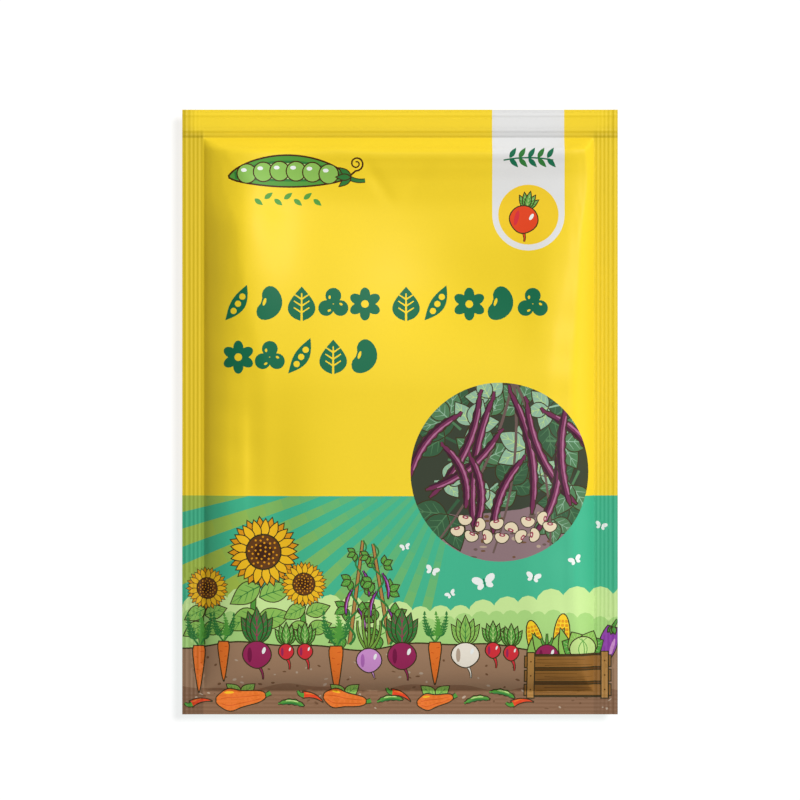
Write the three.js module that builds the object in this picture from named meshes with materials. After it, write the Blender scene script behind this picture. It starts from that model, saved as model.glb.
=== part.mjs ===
// A heat-sealed flat film seed packet lying on its back, with loose peas inside.
// Millimetres, +Z up. The packet's top edge is at +Y, its width runs along X, its thickness
// along Z, and the origin is under its middle, on the surface that it lies on.

import * as THREE from 'three';
import { mergeVertices } from 'three/addons/utils/BufferGeometryUtils.js';

// Driving dimensions of the packet
const PACKET_WIDTH = 130;
const PACKET_HEIGHT = 180.5;
const LEFT_SEAL = 6.3;
const RIGHT_SEAL = 7.2;
const TOP_SEAL = 8.4;
const BOTTOM_SEAL = 7;
const FILM_THICKNESS = 0.3;
const FRONT_BULGE = 11;
const BACK_BULGE = 5.4;

// How far the back sheet takes to come down to the floor: a straight slope, then a round
const BACK_SLOPE = 6.5;
const BACK_ROUND = 9.5;

// Where the two sheets meet, above the floor
const SEAL_PLANE = FILM_THICKNESS + BACK_BULGE;

// The front sheet's rise from each seal: distance in from the seal, share of the whole bulge
const LEFT_RISE = [
  [0, 0], [2.1, 0.195], [4.5, 0.37], [7.5, 0.545], [10.5, 0.67], [13.5, 0.765], [20, 0.9], [45, 1],
];
const RIGHT_RISE = [
  [0, 0], [3, 0.45], [6, 0.78], [10.5, 0.88], [15, 0.95], [24, 1],
];
const BOTTOM_RISE = [
  [0, 0], [3, 0.27], [6, 0.46], [11, 0.64], [20, 0.79], [45, 0.96], [70, 1],
];
const TOP_RISE = [
  [0, 0], [2.4, 0.15], [4.4, 0.32], [8.5, 0.27], [12.5, 0.23],
  [18, 0.285], [26, 0.46], [38, 0.535], [54, 0.74], [76, 1],
];

// Broad rises and hollows of the filled front sheet, each a round hump: its middle, the reach at
// which it has mostly faded, across and up the packet, and its height. They fade out at the seals.
const LEFT_SHOULDER = { x: -46.8, y: 57.3, across: 11, up: 28, height: 4.8 };
const RIGHT_SHOULDER = { x: 53.8, y: 44, across: 7, up: 24, height: 1.9 };
const MIDDLE_HOLLOW = { x: 12.3, y: 40.4, across: 21, up: 16.5, height: -3.6 };
const TOP_HOLLOW = { x: 8, y: 57.5, across: 67, up: 9.5, height: -2.6 };
const LEFT_HOLLOW = { x: -39, y: -24, across: 9, up: 26, height: -2.1 };
const HUMPS = [LEFT_SHOULDER, RIGHT_SHOULDER, MIDDLE_HOLLOW, TOP_HOLLOW, LEFT_HOLLOW];
const HUMP_HOLD = 1.5;

// A slope beside a side seal stays about as steep where the packet is flatter, so it is narrower there
const SIDE_NARROWING = 0.8;

// The lattice of each sheet: lines in from a seal, and the widest step between the rest
const LINES_FROM_SEAL = [0, 1.2, 2.4, 4.2, 6, 8, 10.5, 13.5];
const WIDEST_STEP = 8.5;

// The peas: a kidney about 8 mm long, lying on its side
const PEA_COUNT = 40;
const PEA_LENGTH = 8.2;
const PEA_WIDTH = 6.2;
const PEA_DEPTH = 5;
const PEA_BEND = 0.9;
const PEA_HILUM_DEPTH = 0.55;
const PEA_HILUM_REACH = 1.5;
const PEA_SIZE_SPREAD = 0.12;
const PEA_AROUND = 12;
const PEA_ALONG = 6;
const PEA_SPACING = 9.6;
const PEA_CLEARANCE = 0.3;
const PEA_FIELD_WIDTH = 84;
const PEA_FIELD_BOTTOM = -66;
const PEA_FIELD_TOP = 54;
const PEA_SEED = 20;

const HALF_WIDTH = PACKET_WIDTH / 2;
const HALF_HEIGHT = PACKET_HEIGHT / 2;

// Height of a smooth curve through a few points [distance, share], level past the last one
function riseAt(points, distance) {
  const last = points.length - 1;
  if (distance <= 0) return 0;
  if (distance >= points[last][0]) return points[last][1];
  const steepness = (index) => {
    const before = points[Math.max(index - 1, 0)];
    const after = points[Math.min(index + 1, last)];
    return index === last ? 0 : (after[1] - before[1]) / (after[0] - before[0]);
  };
  const end = points.findIndex((point) => point[0] > distance);
  const [startDistance, startShare] = points[end - 1];
  const [endDistance, endShare] = points[end];
  const span = endDistance - startDistance;
  const t = (distance - startDistance) / span;
  const rise = endShare - startShare;
  const startSteepness = steepness(end - 1) * span;
  const endSteepness = steepness(end) * span;
  const square = t * t;
  const cube = square * t;
  return startShare + rise * (3 * square - 2 * cube)
    + startSteepness * (cube - 2 * square + t) + endSteepness * (cube - square);
}

// A straight slope that rounds off to level: 0 at the seal, 1 from the end of the round on
function slopeAt(distance) {
  const whole = BACK_SLOPE + BACK_ROUND / 2;
  const past = Math.min(Math.max(distance - BACK_SLOPE, 0), BACK_ROUND);
  const straight = Math.min(Math.max(distance, 0), BACK_SLOPE);
  return (straight + past - (past * past) / (2 * BACK_ROUND)) / whole;
}

// How far a point of the sheet is in from each seal
function insets(x, y) {
  return {
    side: HALF_WIDTH - (x < 0 ? LEFT_SEAL : RIGHT_SEAL) - Math.abs(x),
    bottom: y + HALF_HEIGHT - BOTTOM_SEAL,
    top: HALF_HEIGHT - TOP_SEAL - y,
  };
}

// The height of all the humps together at a point, held down towards the seals
function humpsAt(x, y) {
  const { side, bottom, top } = insets(x, y);
  const holdAt = (inset) => riseAt(LEFT_RISE, inset * HUMP_HOLD);
  const heightOf = (hump) => {
    const acrossShare = (x - hump.x) / hump.across;
    const upShare = (y - hump.y) / hump.up;
    return hump.height * Math.exp(-(acrossShare ** 2) - upShare ** 2);
  };
  const whole = HUMPS.reduce((sum, hump) => sum + heightOf(hump), 0);
  return whole * holdAt(side) * holdAt(bottom) * holdAt(top);
}

function frontRise(x, y) {
  const { side, bottom, top } = insets(x, y);
  const endRise = riseAt(BOTTOM_RISE, bottom) * riseAt(TOP_RISE, top);
  if (side <= 0 || endRise <= 0) return 0;
  const sideRise = riseAt(x < 0 ? LEFT_RISE : RIGHT_RISE, side / endRise ** SIDE_NARROWING);
  return FRONT_BULGE * sideRise * endRise + humpsAt(x, y);
}

function backDrop(x, y) {
  const { side, bottom, top } = insets(x, y);
  return BACK_BULGE * slopeAt(side) * slopeAt(bottom) * slopeAt(top);
}

// Lattice lines from one edge of the sheet to the other: fine by the seals, even between
function latticeLines(low, high, lowSeal, highSeal) {
  const rising = LINES_FROM_SEAL.map((line) => low + lowSeal + line);
  const falling = LINES_FROM_SEAL.map((line) => high - highSeal - line).reverse();
  const from = rising[rising.length - 1];
  const to = falling[0];
  const steps = Math.ceil((to - from) / WIDEST_STEP);
  const between = [];
  for (let step = 1; step < steps; step += 1) {
    between.push(from + ((to - from) * step) / steps);
  }
  return [low, ...rising, ...between, ...falling, high];
}

// A closed sheet over a lattice, between a lower and an upper height
function sheetGeometry(columns, rows, lowerHeight, upperHeight) {
  const layer = columns.length * rows.length;
  const positions = [];
  for (const heightAt of [lowerHeight, upperHeight]) {
    for (const y of rows) {
      for (const x of columns) positions.push(x, y, heightAt(x, y));
    }
  }
  const triangles = [];
  for (let row = 0; row + 1 < rows.length; row += 1) {
    for (let column = 0; column + 1 < columns.length; column += 1) {
      const a = row * columns.length + column;
      const b = a + 1;
      const c = b + columns.length;
      const d = a + columns.length;
      triangles.push(a, c, b, a, d, c);
      triangles.push(a + layer, b + layer, c + layer, a + layer, c + layer, d + layer);
    }
  }
  const rim = [];
  for (let column = 0; column + 1 < columns.length; column += 1) rim.push(column);
  for (let row = 0; row + 1 < rows.length; row += 1) rim.push((row + 1) * columns.length - 1);
  for (let column = columns.length - 1; column > 0; column -= 1) rim.push(layer - columns.length + column);
  for (let row = rows.length - 1; row > 0; row -= 1) rim.push(row * columns.length);
  rim.forEach((from, index) => {
    const to = rim[(index + 1) % rim.length];
    triangles.push(from, to, to + layer, from, to + layer, from + layer);
  });
  const geometry = new THREE.BufferGeometry();
  geometry.setAttribute('position', new THREE.Float32BufferAttribute(positions, 3));
  geometry.setIndex(triangles);
  return geometry;
}

// One pea: an egg-round body bent to a kidney, with a shallow hollow at the hilum
function peaGeometry(scale) {
  const sphere = new THREE.SphereGeometry(0.5, PEA_AROUND, PEA_ALONG);
  sphere.rotateZ(Math.PI / 2);
  sphere.deleteAttribute('normal');
  sphere.deleteAttribute('uv');
  const pea = mergeVertices(sphere);
  const position = pea.attributes.position;
  for (let index = 0; index < position.count; index += 1) {
    const x = position.getX(index) * PEA_LENGTH;
    const alongShare = (2 * x) / PEA_LENGTH;
    const bend = PEA_BEND * alongShare * alongShare;
    const onHilumSide = Math.max(position.getY(index) * 2, 0);
    const hollow = PEA_HILUM_DEPTH * onHilumSide * Math.exp(-((x / PEA_HILUM_REACH) ** 2));
    const y = position.getY(index) * PEA_WIDTH + bend - hollow;
    const z = position.getZ(index) * PEA_DEPTH;
    position.setXYZ(index, x * scale, y * scale, z * scale);
  }
  return pea;
}

// A small seeded random generator, so that the peas lie the same way every time
function randomSource(seed) {
  let state = seed;
  return () => {
    state = (state * 16807) % 2147483647;
    return state / 2147483647;
  };
}

// Places for the peas on the flat of the back sheet, no two nearer than the spacing
function peaPlaces() {
  const random = randomSource(PEA_SEED);
  const places = [];
  while (places.length < PEA_COUNT) {
    const x = (random() - 0.5) * PEA_FIELD_WIDTH;
    const y = PEA_FIELD_BOTTOM + random() * (PEA_FIELD_TOP - PEA_FIELD_BOTTOM);
    const turn = random() * 2 * Math.PI;
    const scale = 1 - random() * PEA_SIZE_SPREAD;
    const isClear = places.every((other) => Math.hypot(other.x - x, other.y - y) > PEA_SPACING);
    if (isClear) places.push({ x, y, turn, scale });
  }
  return places;
}

function filmMaterial(color) {
  return new THREE.MeshStandardMaterial({ color, roughness: 0.42, metalness: 0 });
}

function packet() {
  const columns = latticeLines(-HALF_WIDTH, HALF_WIDTH, LEFT_SEAL, RIGHT_SEAL);
  const rows = latticeLines(-HALF_HEIGHT, HALF_HEIGHT, BOTTOM_SEAL, TOP_SEAL);
  const frontInside = (x, y) => SEAL_PLANE + frontRise(x, y);
  const frontOutside = (x, y) => frontInside(x, y) + FILM_THICKNESS;
  const backInside = (x, y) => SEAL_PLANE - backDrop(x, y);
  const backOutside = (x, y) => backInside(x, y) - FILM_THICKNESS;

  const group = new THREE.Group();
  const frontGeometry = sheetGeometry(columns, rows, frontInside, frontOutside);
  const front = new THREE.Mesh(frontGeometry, filmMaterial(0xfbd92e));
  front.name = 'front_film';
  const backGeometry = sheetGeometry(columns, rows, backOutside, backInside);
  const back = new THREE.Mesh(backGeometry, filmMaterial(0xf3cf2a));
  back.name = 'back_film';
  group.add(front, back);

  const peaMaterial = new THREE.MeshStandardMaterial({ color: 0xe6cfa6, roughness: 0.5, metalness: 0 });
  peaPlaces().forEach((place, index) => {
    const pea = new THREE.Mesh(peaGeometry(place.scale), peaMaterial.clone());
    pea.name = `pea_${String(index + 1).padStart(2, '0')}`;
    const lowest = FILM_THICKNESS + PEA_CLEARANCE;
    pea.position.set(place.x, place.y, lowest + (PEA_DEPTH * place.scale) / 2);
    pea.rotation.z = place.turn;
    group.add(pea);
  });
  return group;
}

export default packet();
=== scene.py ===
"""A yellow heat-sealed film seed packet lying on its back, with loose cowpeas inside it.

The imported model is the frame, in metres. The two film sheets are drawn in millimetres on the flat sheet,
with x to the right and y towards the packet's top edge: first the inks as outlines, then the height of the
film over each point. Each sheet's triangles are cut along the outlines, so every ink has a sharp edge.
"""

import logging
import random
from collections.abc import Callable, Iterable, Sequence
from dataclasses import dataclass
from enum import Enum
from math import cos, exp, hypot, pi, radians, sin, sqrt
from typing import Any, Self

import bmesh
import bpy
import numpy as np
from mathutils import Matrix, Vector
from mathutils.geometry import delaunay_2d_cdt


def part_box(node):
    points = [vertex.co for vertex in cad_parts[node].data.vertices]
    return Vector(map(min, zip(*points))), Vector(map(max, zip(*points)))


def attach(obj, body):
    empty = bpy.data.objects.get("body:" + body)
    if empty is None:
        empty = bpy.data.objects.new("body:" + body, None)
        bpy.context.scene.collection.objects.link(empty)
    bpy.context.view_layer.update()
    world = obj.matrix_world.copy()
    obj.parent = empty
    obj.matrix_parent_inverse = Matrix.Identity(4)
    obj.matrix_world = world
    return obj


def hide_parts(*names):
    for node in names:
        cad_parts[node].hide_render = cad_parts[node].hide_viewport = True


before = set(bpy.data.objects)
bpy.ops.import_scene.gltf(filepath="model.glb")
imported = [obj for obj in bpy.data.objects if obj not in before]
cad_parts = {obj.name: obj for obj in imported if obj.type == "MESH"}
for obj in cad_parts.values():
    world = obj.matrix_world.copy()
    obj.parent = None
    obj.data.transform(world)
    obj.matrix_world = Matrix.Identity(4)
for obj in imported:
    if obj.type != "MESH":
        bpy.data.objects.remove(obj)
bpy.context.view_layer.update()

LOG = logging.getLogger("seed_packet")
MM = 0.001
ROOT = "root"
Array = np.ndarray
HeightMap = Callable[[Array, Array], Array]
Points = Sequence[Sequence[float]]
Pair = tuple[float, float]
Colour = tuple[float, float, float, float]


class Ink(Enum):
    """The printing inks and the bare film, as they look in flat light, red, green and blue from 0 to 255.

    ROW_1 to ROW_10 are the field's rows, which fade from the near green to the teal sky.
    """

    YELLOW = (254, 220, 46)
    TEAL = (69, 188, 146)
    ROW_1 = (170, 196, 78)
    ROW_2 = (161, 195, 84)
    ROW_3 = (152, 194, 90)
    ROW_4 = (143, 193, 95)
    ROW_5 = (134, 192, 101)
    ROW_6 = (126, 191, 107)
    ROW_7 = (117, 190, 113)
    ROW_8 = (108, 189, 118)
    ROW_9 = (99, 188, 124)
    ROW_10 = (90, 187, 130)
    HEDGE_PALE = (208, 240, 158)
    HEDGE = (176, 222, 132)
    SOIL = (166, 131, 102)
    SOIL_DEEP = (143, 107, 80)
    SOIL_CRUMB = (118, 84, 58)
    STONE = (190, 168, 146)
    LINE = (62, 52, 26)
    DEEP_GREEN = (24, 113, 78)
    LEAF = (86, 160, 62)
    LEAF_DARK = (52, 126, 58)
    LEAF_LIGHT = (146, 198, 92)
    LEAF_PALE = (196, 226, 140)
    STEM = (120, 168, 66)
    PETAL = (250, 196, 34)
    PETAL_DEEP = (232, 158, 26)
    SEED_BROWN = (104, 62, 24)
    SEED_DARK = (70, 36, 12)
    CARROT = (240, 122, 44)
    CARROT_SHADE = (214, 92, 30)
    BEET = (158, 42, 92)
    BEET_SHADE = (122, 26, 70)
    RADISH = (222, 52, 62)
    ROOT_WHITE = (248, 240, 224)
    ONION = (214, 150, 214)
    ONION_SHADE = (180, 108, 186)
    PURPLE = (150, 66, 176)
    CORN = (255, 214, 40)
    WOOD = (150, 104, 48)
    WOOD_LIGHT = (184, 136, 72)
    WOOD_DARK = (98, 64, 24)
    WHITE = (246, 250, 246)
    BADGE = (236, 236, 235)
    BADGE_DISC = (253, 213, 44)
    BADGE_RED = (236, 74, 34)
    POD_PURPLE = (118, 44, 84)
    POD_LILAC = (182, 112, 148)
    POD_SHADE = (66, 24, 46)
    THICKET = (58, 66, 50)
    THICKET_BROWN = (112, 90, 84)
    THICKET_EARTH = (146, 120, 124)
    FROST_LEAF = (150, 190, 160)
    WOODLAND = (84, 130, 88)
    WOODLAND_DARK = (56, 96, 64)
    PEA_CREAM = (238, 222, 188)
    PEA_EYE = (164, 62, 84)
    RULE_GREY = (178, 182, 178)
    FILM_CORE = (226, 226, 220)

    def colour(self) -> Colour:
        """Returns the ink as linear red, green, blue and alpha."""
        linear = []
        for level in self.value:
            share = level / 255
            linear.append(share / 12.92 if share <= 0.04045 else ((share + 0.055) / 1.055) ** 2.4)
        return (*linear, 1.0)


@dataclass(frozen=True)
class PacketSizes:
    """The packet's sizes in millimetres. Those that the frame's boxes hold are read from it."""

    half_width: float
    half_height: float
    seal_plane: float
    front_top: float
    film: float = 0.3
    left_seal: float = 6.3
    right_seal: float = 7.2
    top_seal: float = 8.4
    bottom_seal: float = 7.0

    @classmethod
    def from_frame(cls) -> "PacketSizes":
        """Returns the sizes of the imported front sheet."""
        low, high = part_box("front_film")
        return cls(high[0] / MM, high[1] / MM, low[2] / MM, high[2] / MM)

    def inset_side(self, x: Array) -> Array:
        """Returns how far points are in from the nearer side seal."""
        return self.half_width - np.where(x < 0, self.left_seal, self.right_seal) - np.abs(x)

    def inset_bottom(self, y: Array) -> Array:
        """Returns how far points are in from the bottom seal."""
        return y + self.half_height - self.bottom_seal

    def inset_top(self, y: Array) -> Array:
        """Returns how far points are in from the top seal."""
        return self.half_height - self.top_seal - y


@dataclass(frozen=True)
class Rise:
    """A smooth curve from 0 at a seal through a few (distance, share) points, level past the last one."""

    points: tuple[Pair, ...]

    def at(self, distance: Array) -> Array:
        """Returns the share at each distance in from the seal.

        Args:
            distance: Millimetres in from the seal, below 0 on the seal itself.

        Returns:
            Shares of the whole bulge, 0 on the seal.
        """
        knots = np.array(self.points)
        reach, share = knots[:, 0], knots[:, 1]
        before = np.maximum(np.arange(len(knots)) - 1, 0)
        after = np.minimum(np.arange(len(knots)) + 1, len(knots) - 1)
        steepness = (share[after] - share[before]) / (reach[after] - reach[before])
        steepness[-1] = 0.0
        inside = np.clip(distance, 0.0, reach[-1])
        start = np.clip(np.searchsorted(reach, inside, side="right") - 1, 0, len(knots) - 2)
        span = reach[start + 1] - reach[start]
        t = (inside - reach[start]) / span
        square = t * t
        cube = square * t
        eased = share[start] + (share[start + 1] - share[start]) * (3 * square - 2 * cube)
        leaving = steepness[start] * span * (cube - 2 * square + t)
        arriving = steepness[start + 1] * span * (cube - square)
        return eased + leaving + arriving


@dataclass(frozen=True)
class Crease:
    """A soft ridge or, with a rise below 0, a furrow along a straight line of the film."""

    start: Pair
    end: Pair
    spread: float
    rise: float

    def height(self, x: Array, y: Array) -> Array:
        """Returns the crease's height at each point, which fades out at both ends of its line."""
        run = np.subtract(self.end, self.start)
        length = hypot(*run)
        along = ((x - self.start[0]) * run[0] + (y - self.start[1]) * run[1]) / length**2
        across = ((y - self.start[1]) * run[0] - (x - self.start[0]) * run[1]) / length
        window = np.sin(np.pi * np.clip(along, 0.0, 1.0)) ** 2
        return self.rise * window * np.exp(-((across / self.spread) ** 2))


@dataclass(frozen=True)
class Swell:
    """A broad round rise of the film or, with a rise below 0, a dent."""

    centre: Pair
    spread: Pair
    rise: float

    def height(self, x: Array, y: Array) -> Array:
        """Returns the swell's height at each point."""
        across = (x - self.centre[0]) / self.spread[0]
        up = (y - self.centre[1]) / self.spread[1]
        return self.rise * np.exp(-(across**2) - up**2)


@dataclass(frozen=True)
class SealRidges:
    """The ridges that the sealer's jaws press into one seal, counted in from the sheet's edge."""

    first: float
    pitch: float
    count: int
    rise: float

    def height(self, distance: Array) -> Array:
        """Returns the ridges' height at each distance in from the sheet's edge."""
        turns = (distance - self.first) / self.pitch
        wave = 0.5 - 0.5 * np.cos(2 * np.pi * turns)
        return np.where((turns > 0) & (turns < self.count), self.rise * wave, 0.0)


@dataclass(frozen=True)
class FilmRelief:
    """The height of both sheets over the floor, in millimetres, as the sealed and filled packet has it."""

    sizes: PacketSizes
    left_rise: Rise = Rise(
        ((0, 0), (2.1, 0.195), (4.5, 0.37), (7.5, 0.545), (10.5, 0.67), (13.5, 0.765), (20, 0.9), (45, 1))
    )
    right_rise: Rise = Rise(((0, 0), (3, 0.45), (6, 0.78), (10.5, 0.88), (15, 0.95), (24, 1)))
    bottom_rise: Rise = Rise(((0, 0), (3, 0.27), (6, 0.46), (11, 0.64), (20, 0.79), (45, 0.96), (70, 1)))
    top_rise: Rise = Rise(
        (
            (0, 0), (2.4, 0.15), (4.4, 0.32), (8.5, 0.27), (12.5, 0.23),
            (18, 0.285), (26, 0.46), (38, 0.535), (54, 0.74), (76, 1),
        )
    )
    side_narrowing: float = 0.8
    back_slope: float = 6.5
    back_round: float = 9.5
    side_ridges: tuple[SealRidges, ...] = (SealRidges(0.4, 1.3, 1, 0.15), SealRidges(1.9, 1.2, 4, 0.1))
    top_ridges: tuple[SealRidges, ...] = (SealRidges(0.9, 1.5, 1, 0.12), SealRidges(5.6, 1.4, 2, 0.16))
    bottom_ridges: tuple[SealRidges, ...] = (SealRidges(0.6, 1.2, 5, 0.08),)
    crossing_reach: float = 3.0
    crossing_loss: float = 0.45
    creases: tuple[Crease, ...] = (
        Crease((-14.0, 80.0), (0.0, 58.5), 2.0, -0.3),
        Crease((13.0, 80.5), (-2.0, 58.5), 2.3, -0.28),
        Crease((-47.4, 10.0), (-46.4, -34.0), 1.9, 0.42),
        Crease((-55.0, 80.0), (-40.0, 64.0), 1.5, 0.22),
        Crease((56.0, 80.5), (42.0, 66.0), 1.6, 0.22),
        Crease((-56.0, -81.0), (-42.0, -66.0), 1.6, 0.2),
        Crease((56.0, -81.0), (43.0, -66.0), 1.6, 0.2),
        Crease((43.0, 82.0), (45.5, -16.0), 6.5, 1.05),
        Crease((38.0, -38.0), (41.0, -76.0), 2.6, 0.16),
        Crease((-22.0, -80.0), (-17.0, -62.0), 2.2, 0.18),
    )
    swells: tuple[Swell, ...] = (
        Swell((-46.8, 57.3), (11.0, 28.0), 4.8),
        Swell((53.8, 44.0), (7.0, 24.0), 1.9),
        Swell((12.3, 40.4), (21.0, 16.5), -3.6),
        Swell((8.0, 57.5), (67.0, 9.5), -2.6),
        Swell((-39.0, -24.0), (9.0, 26.0), -2.1),
        Swell((-46.0, -14.0), (5.0, 18.0), -0.8),
        Swell((8.0, -72.0), (26.0, 9.0), -0.25),
    )
    pucker_pitch: float = 12.5
    pucker_rise: float = 0.1
    pucker_reach: float = 5.0
    pucker_drift: float = 1.7
    pucker_drift_reach: float = 17.0
    pucker_slant: float = 30.0
    crest_wave: float = 0.42
    crest_depth: float = 9.0
    crest_corner: float = 8.0
    crest_notch: float = 0.28
    crest_notch_x: float = -18.0
    fold_hold: float = 1.5

    def back_share(self, distance: Array) -> Array:
        """Returns the back sheet's way down to the floor, from 0 to 1, at each distance in from a seal."""
        straight = np.clip(distance, 0.0, self.back_slope)
        past = np.clip(distance - self.back_slope, 0.0, self.back_round)
        return (straight + past - past**2 / (2 * self.back_round)) / (self.back_slope + self.back_round / 2)

    def back_drop(self, x: Array, y: Array) -> Array:
        """Returns how far the back sheet hangs under the plane of the seals."""
        sizes = self.sizes
        share = self.back_share(sizes.inset_side(x)) * self.back_share(sizes.inset_bottom(y))
        return (sizes.seal_plane - sizes.film) * share * self.back_share(sizes.inset_top(y))

    def front_bulge(self, x: Array, y: Array) -> Array:
        """Returns how far the front sheet stands over the plane of the seals, with its dents and creases."""
        sizes = self.sizes
        side, bottom, top = sizes.inset_side(x), sizes.inset_bottom(y), sizes.inset_top(y)
        corner = np.exp(-np.clip(side, 0.0, None) / self.crest_corner)
        notch = self.crest_notch * np.exp(-(((x - self.crest_notch_x) / self.crest_corner) ** 2))
        crest_top = top * (1 + self.crest_wave * (corner + notch) * np.exp(-((top / self.crest_depth) ** 2)))
        whole = sizes.front_top - sizes.seal_plane - sizes.film
        end_rise = self.bottom_rise.at(bottom) * self.top_rise.at(crest_top)
        across = side / np.maximum(end_rise, 0.001) ** self.side_narrowing
        side_rise = np.where(x < 0, self.left_rise.at(across), self.right_rise.at(across))
        bulge = whole * side_rise * end_rise
        held = 1.0
        for inset in (side, bottom, top):
            held = held * self.left_rise.at(inset * self.fold_hold)
        folds = sum(fold.height(x, y) for fold in (*self.creases, *self.swells))
        near_side = np.clip(side, 0.0, None) / self.pucker_reach
        turns = 2 * np.pi * y / self.pucker_pitch + self.pucker_drift * np.sin(y / self.pucker_drift_reach)
        ripple = np.sin(turns + x / self.pucker_slant)
        puckers = self.pucker_rise * near_side * np.exp(1 - near_side) * ripple
        return bulge + held * (folds + puckers)

    def ridges(self, x: Array, y: Array) -> Array:
        """Returns the height of the ridges pressed into all four seals, worn down where two seals cross."""
        sizes = self.sizes
        side = sum(ridge.height(sizes.half_width - np.abs(x)) for ridge in self.side_ridges)
        top = sum(ridge.height(sizes.half_height - y) for ridge in self.top_ridges)
        bottom = sum(ridge.height(sizes.half_height + y) for ridge in self.bottom_ridges)
        outward = np.clip(-sizes.inset_side(x) / sizes.left_seal, 0.0, 1.0)
        into_end = np.maximum(-sizes.inset_top(y), -sizes.inset_bottom(y)) / self.crossing_reach
        worn = np.clip(into_end, 0.0, 1.0) * (1 - outward)
        return side * (1 - worn) + (top + bottom) * (1 - self.crossing_loss * outward)

    def front_outside(self, x: Array, y: Array) -> Array:
        """Returns the height of the printed face of the front sheet."""
        return self.sizes.seal_plane + self.sizes.film + self.front_bulge(x, y) + self.ridges(x, y)

    def front_inside(self, x: Array, y: Array) -> Array:
        """Returns the height of the inner face of the front sheet."""
        return self.sizes.seal_plane + self.front_bulge(x, y)

    def back_outside(self, x: Array, y: Array) -> Array:
        """Returns the height of the printed face of the back sheet, which lies on the floor."""
        return self.back_inside(x, y) - self.sizes.film - self.ridges(x, y)

    def back_inside(self, x: Array, y: Array) -> Array:
        """Returns the height of the inner face of the back sheet."""
        return self.sizes.seal_plane - self.back_drop(x, y)


def normals_of(height: HeightMap, x: Array, y: Array) -> Array:
    """Works out the upward normals of a height map.

    Args:
        height: The height over each point, in millimetres.
        x: The points' places across the sheet.
        y: The points' places up the sheet.

    Returns:
        One unit vector for each point.
    """
    step = 0.03
    slope_x = (height(x + step, y) - height(x - step, y)) / (2 * step)
    slope_y = (height(x, y + step) - height(x, y - step)) / (2 * step)
    upward = np.stack([-slope_x, -slope_y, np.ones_like(slope_x)], axis=1)
    return upward / np.linalg.norm(upward, axis=1, keepdims=True)


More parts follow.
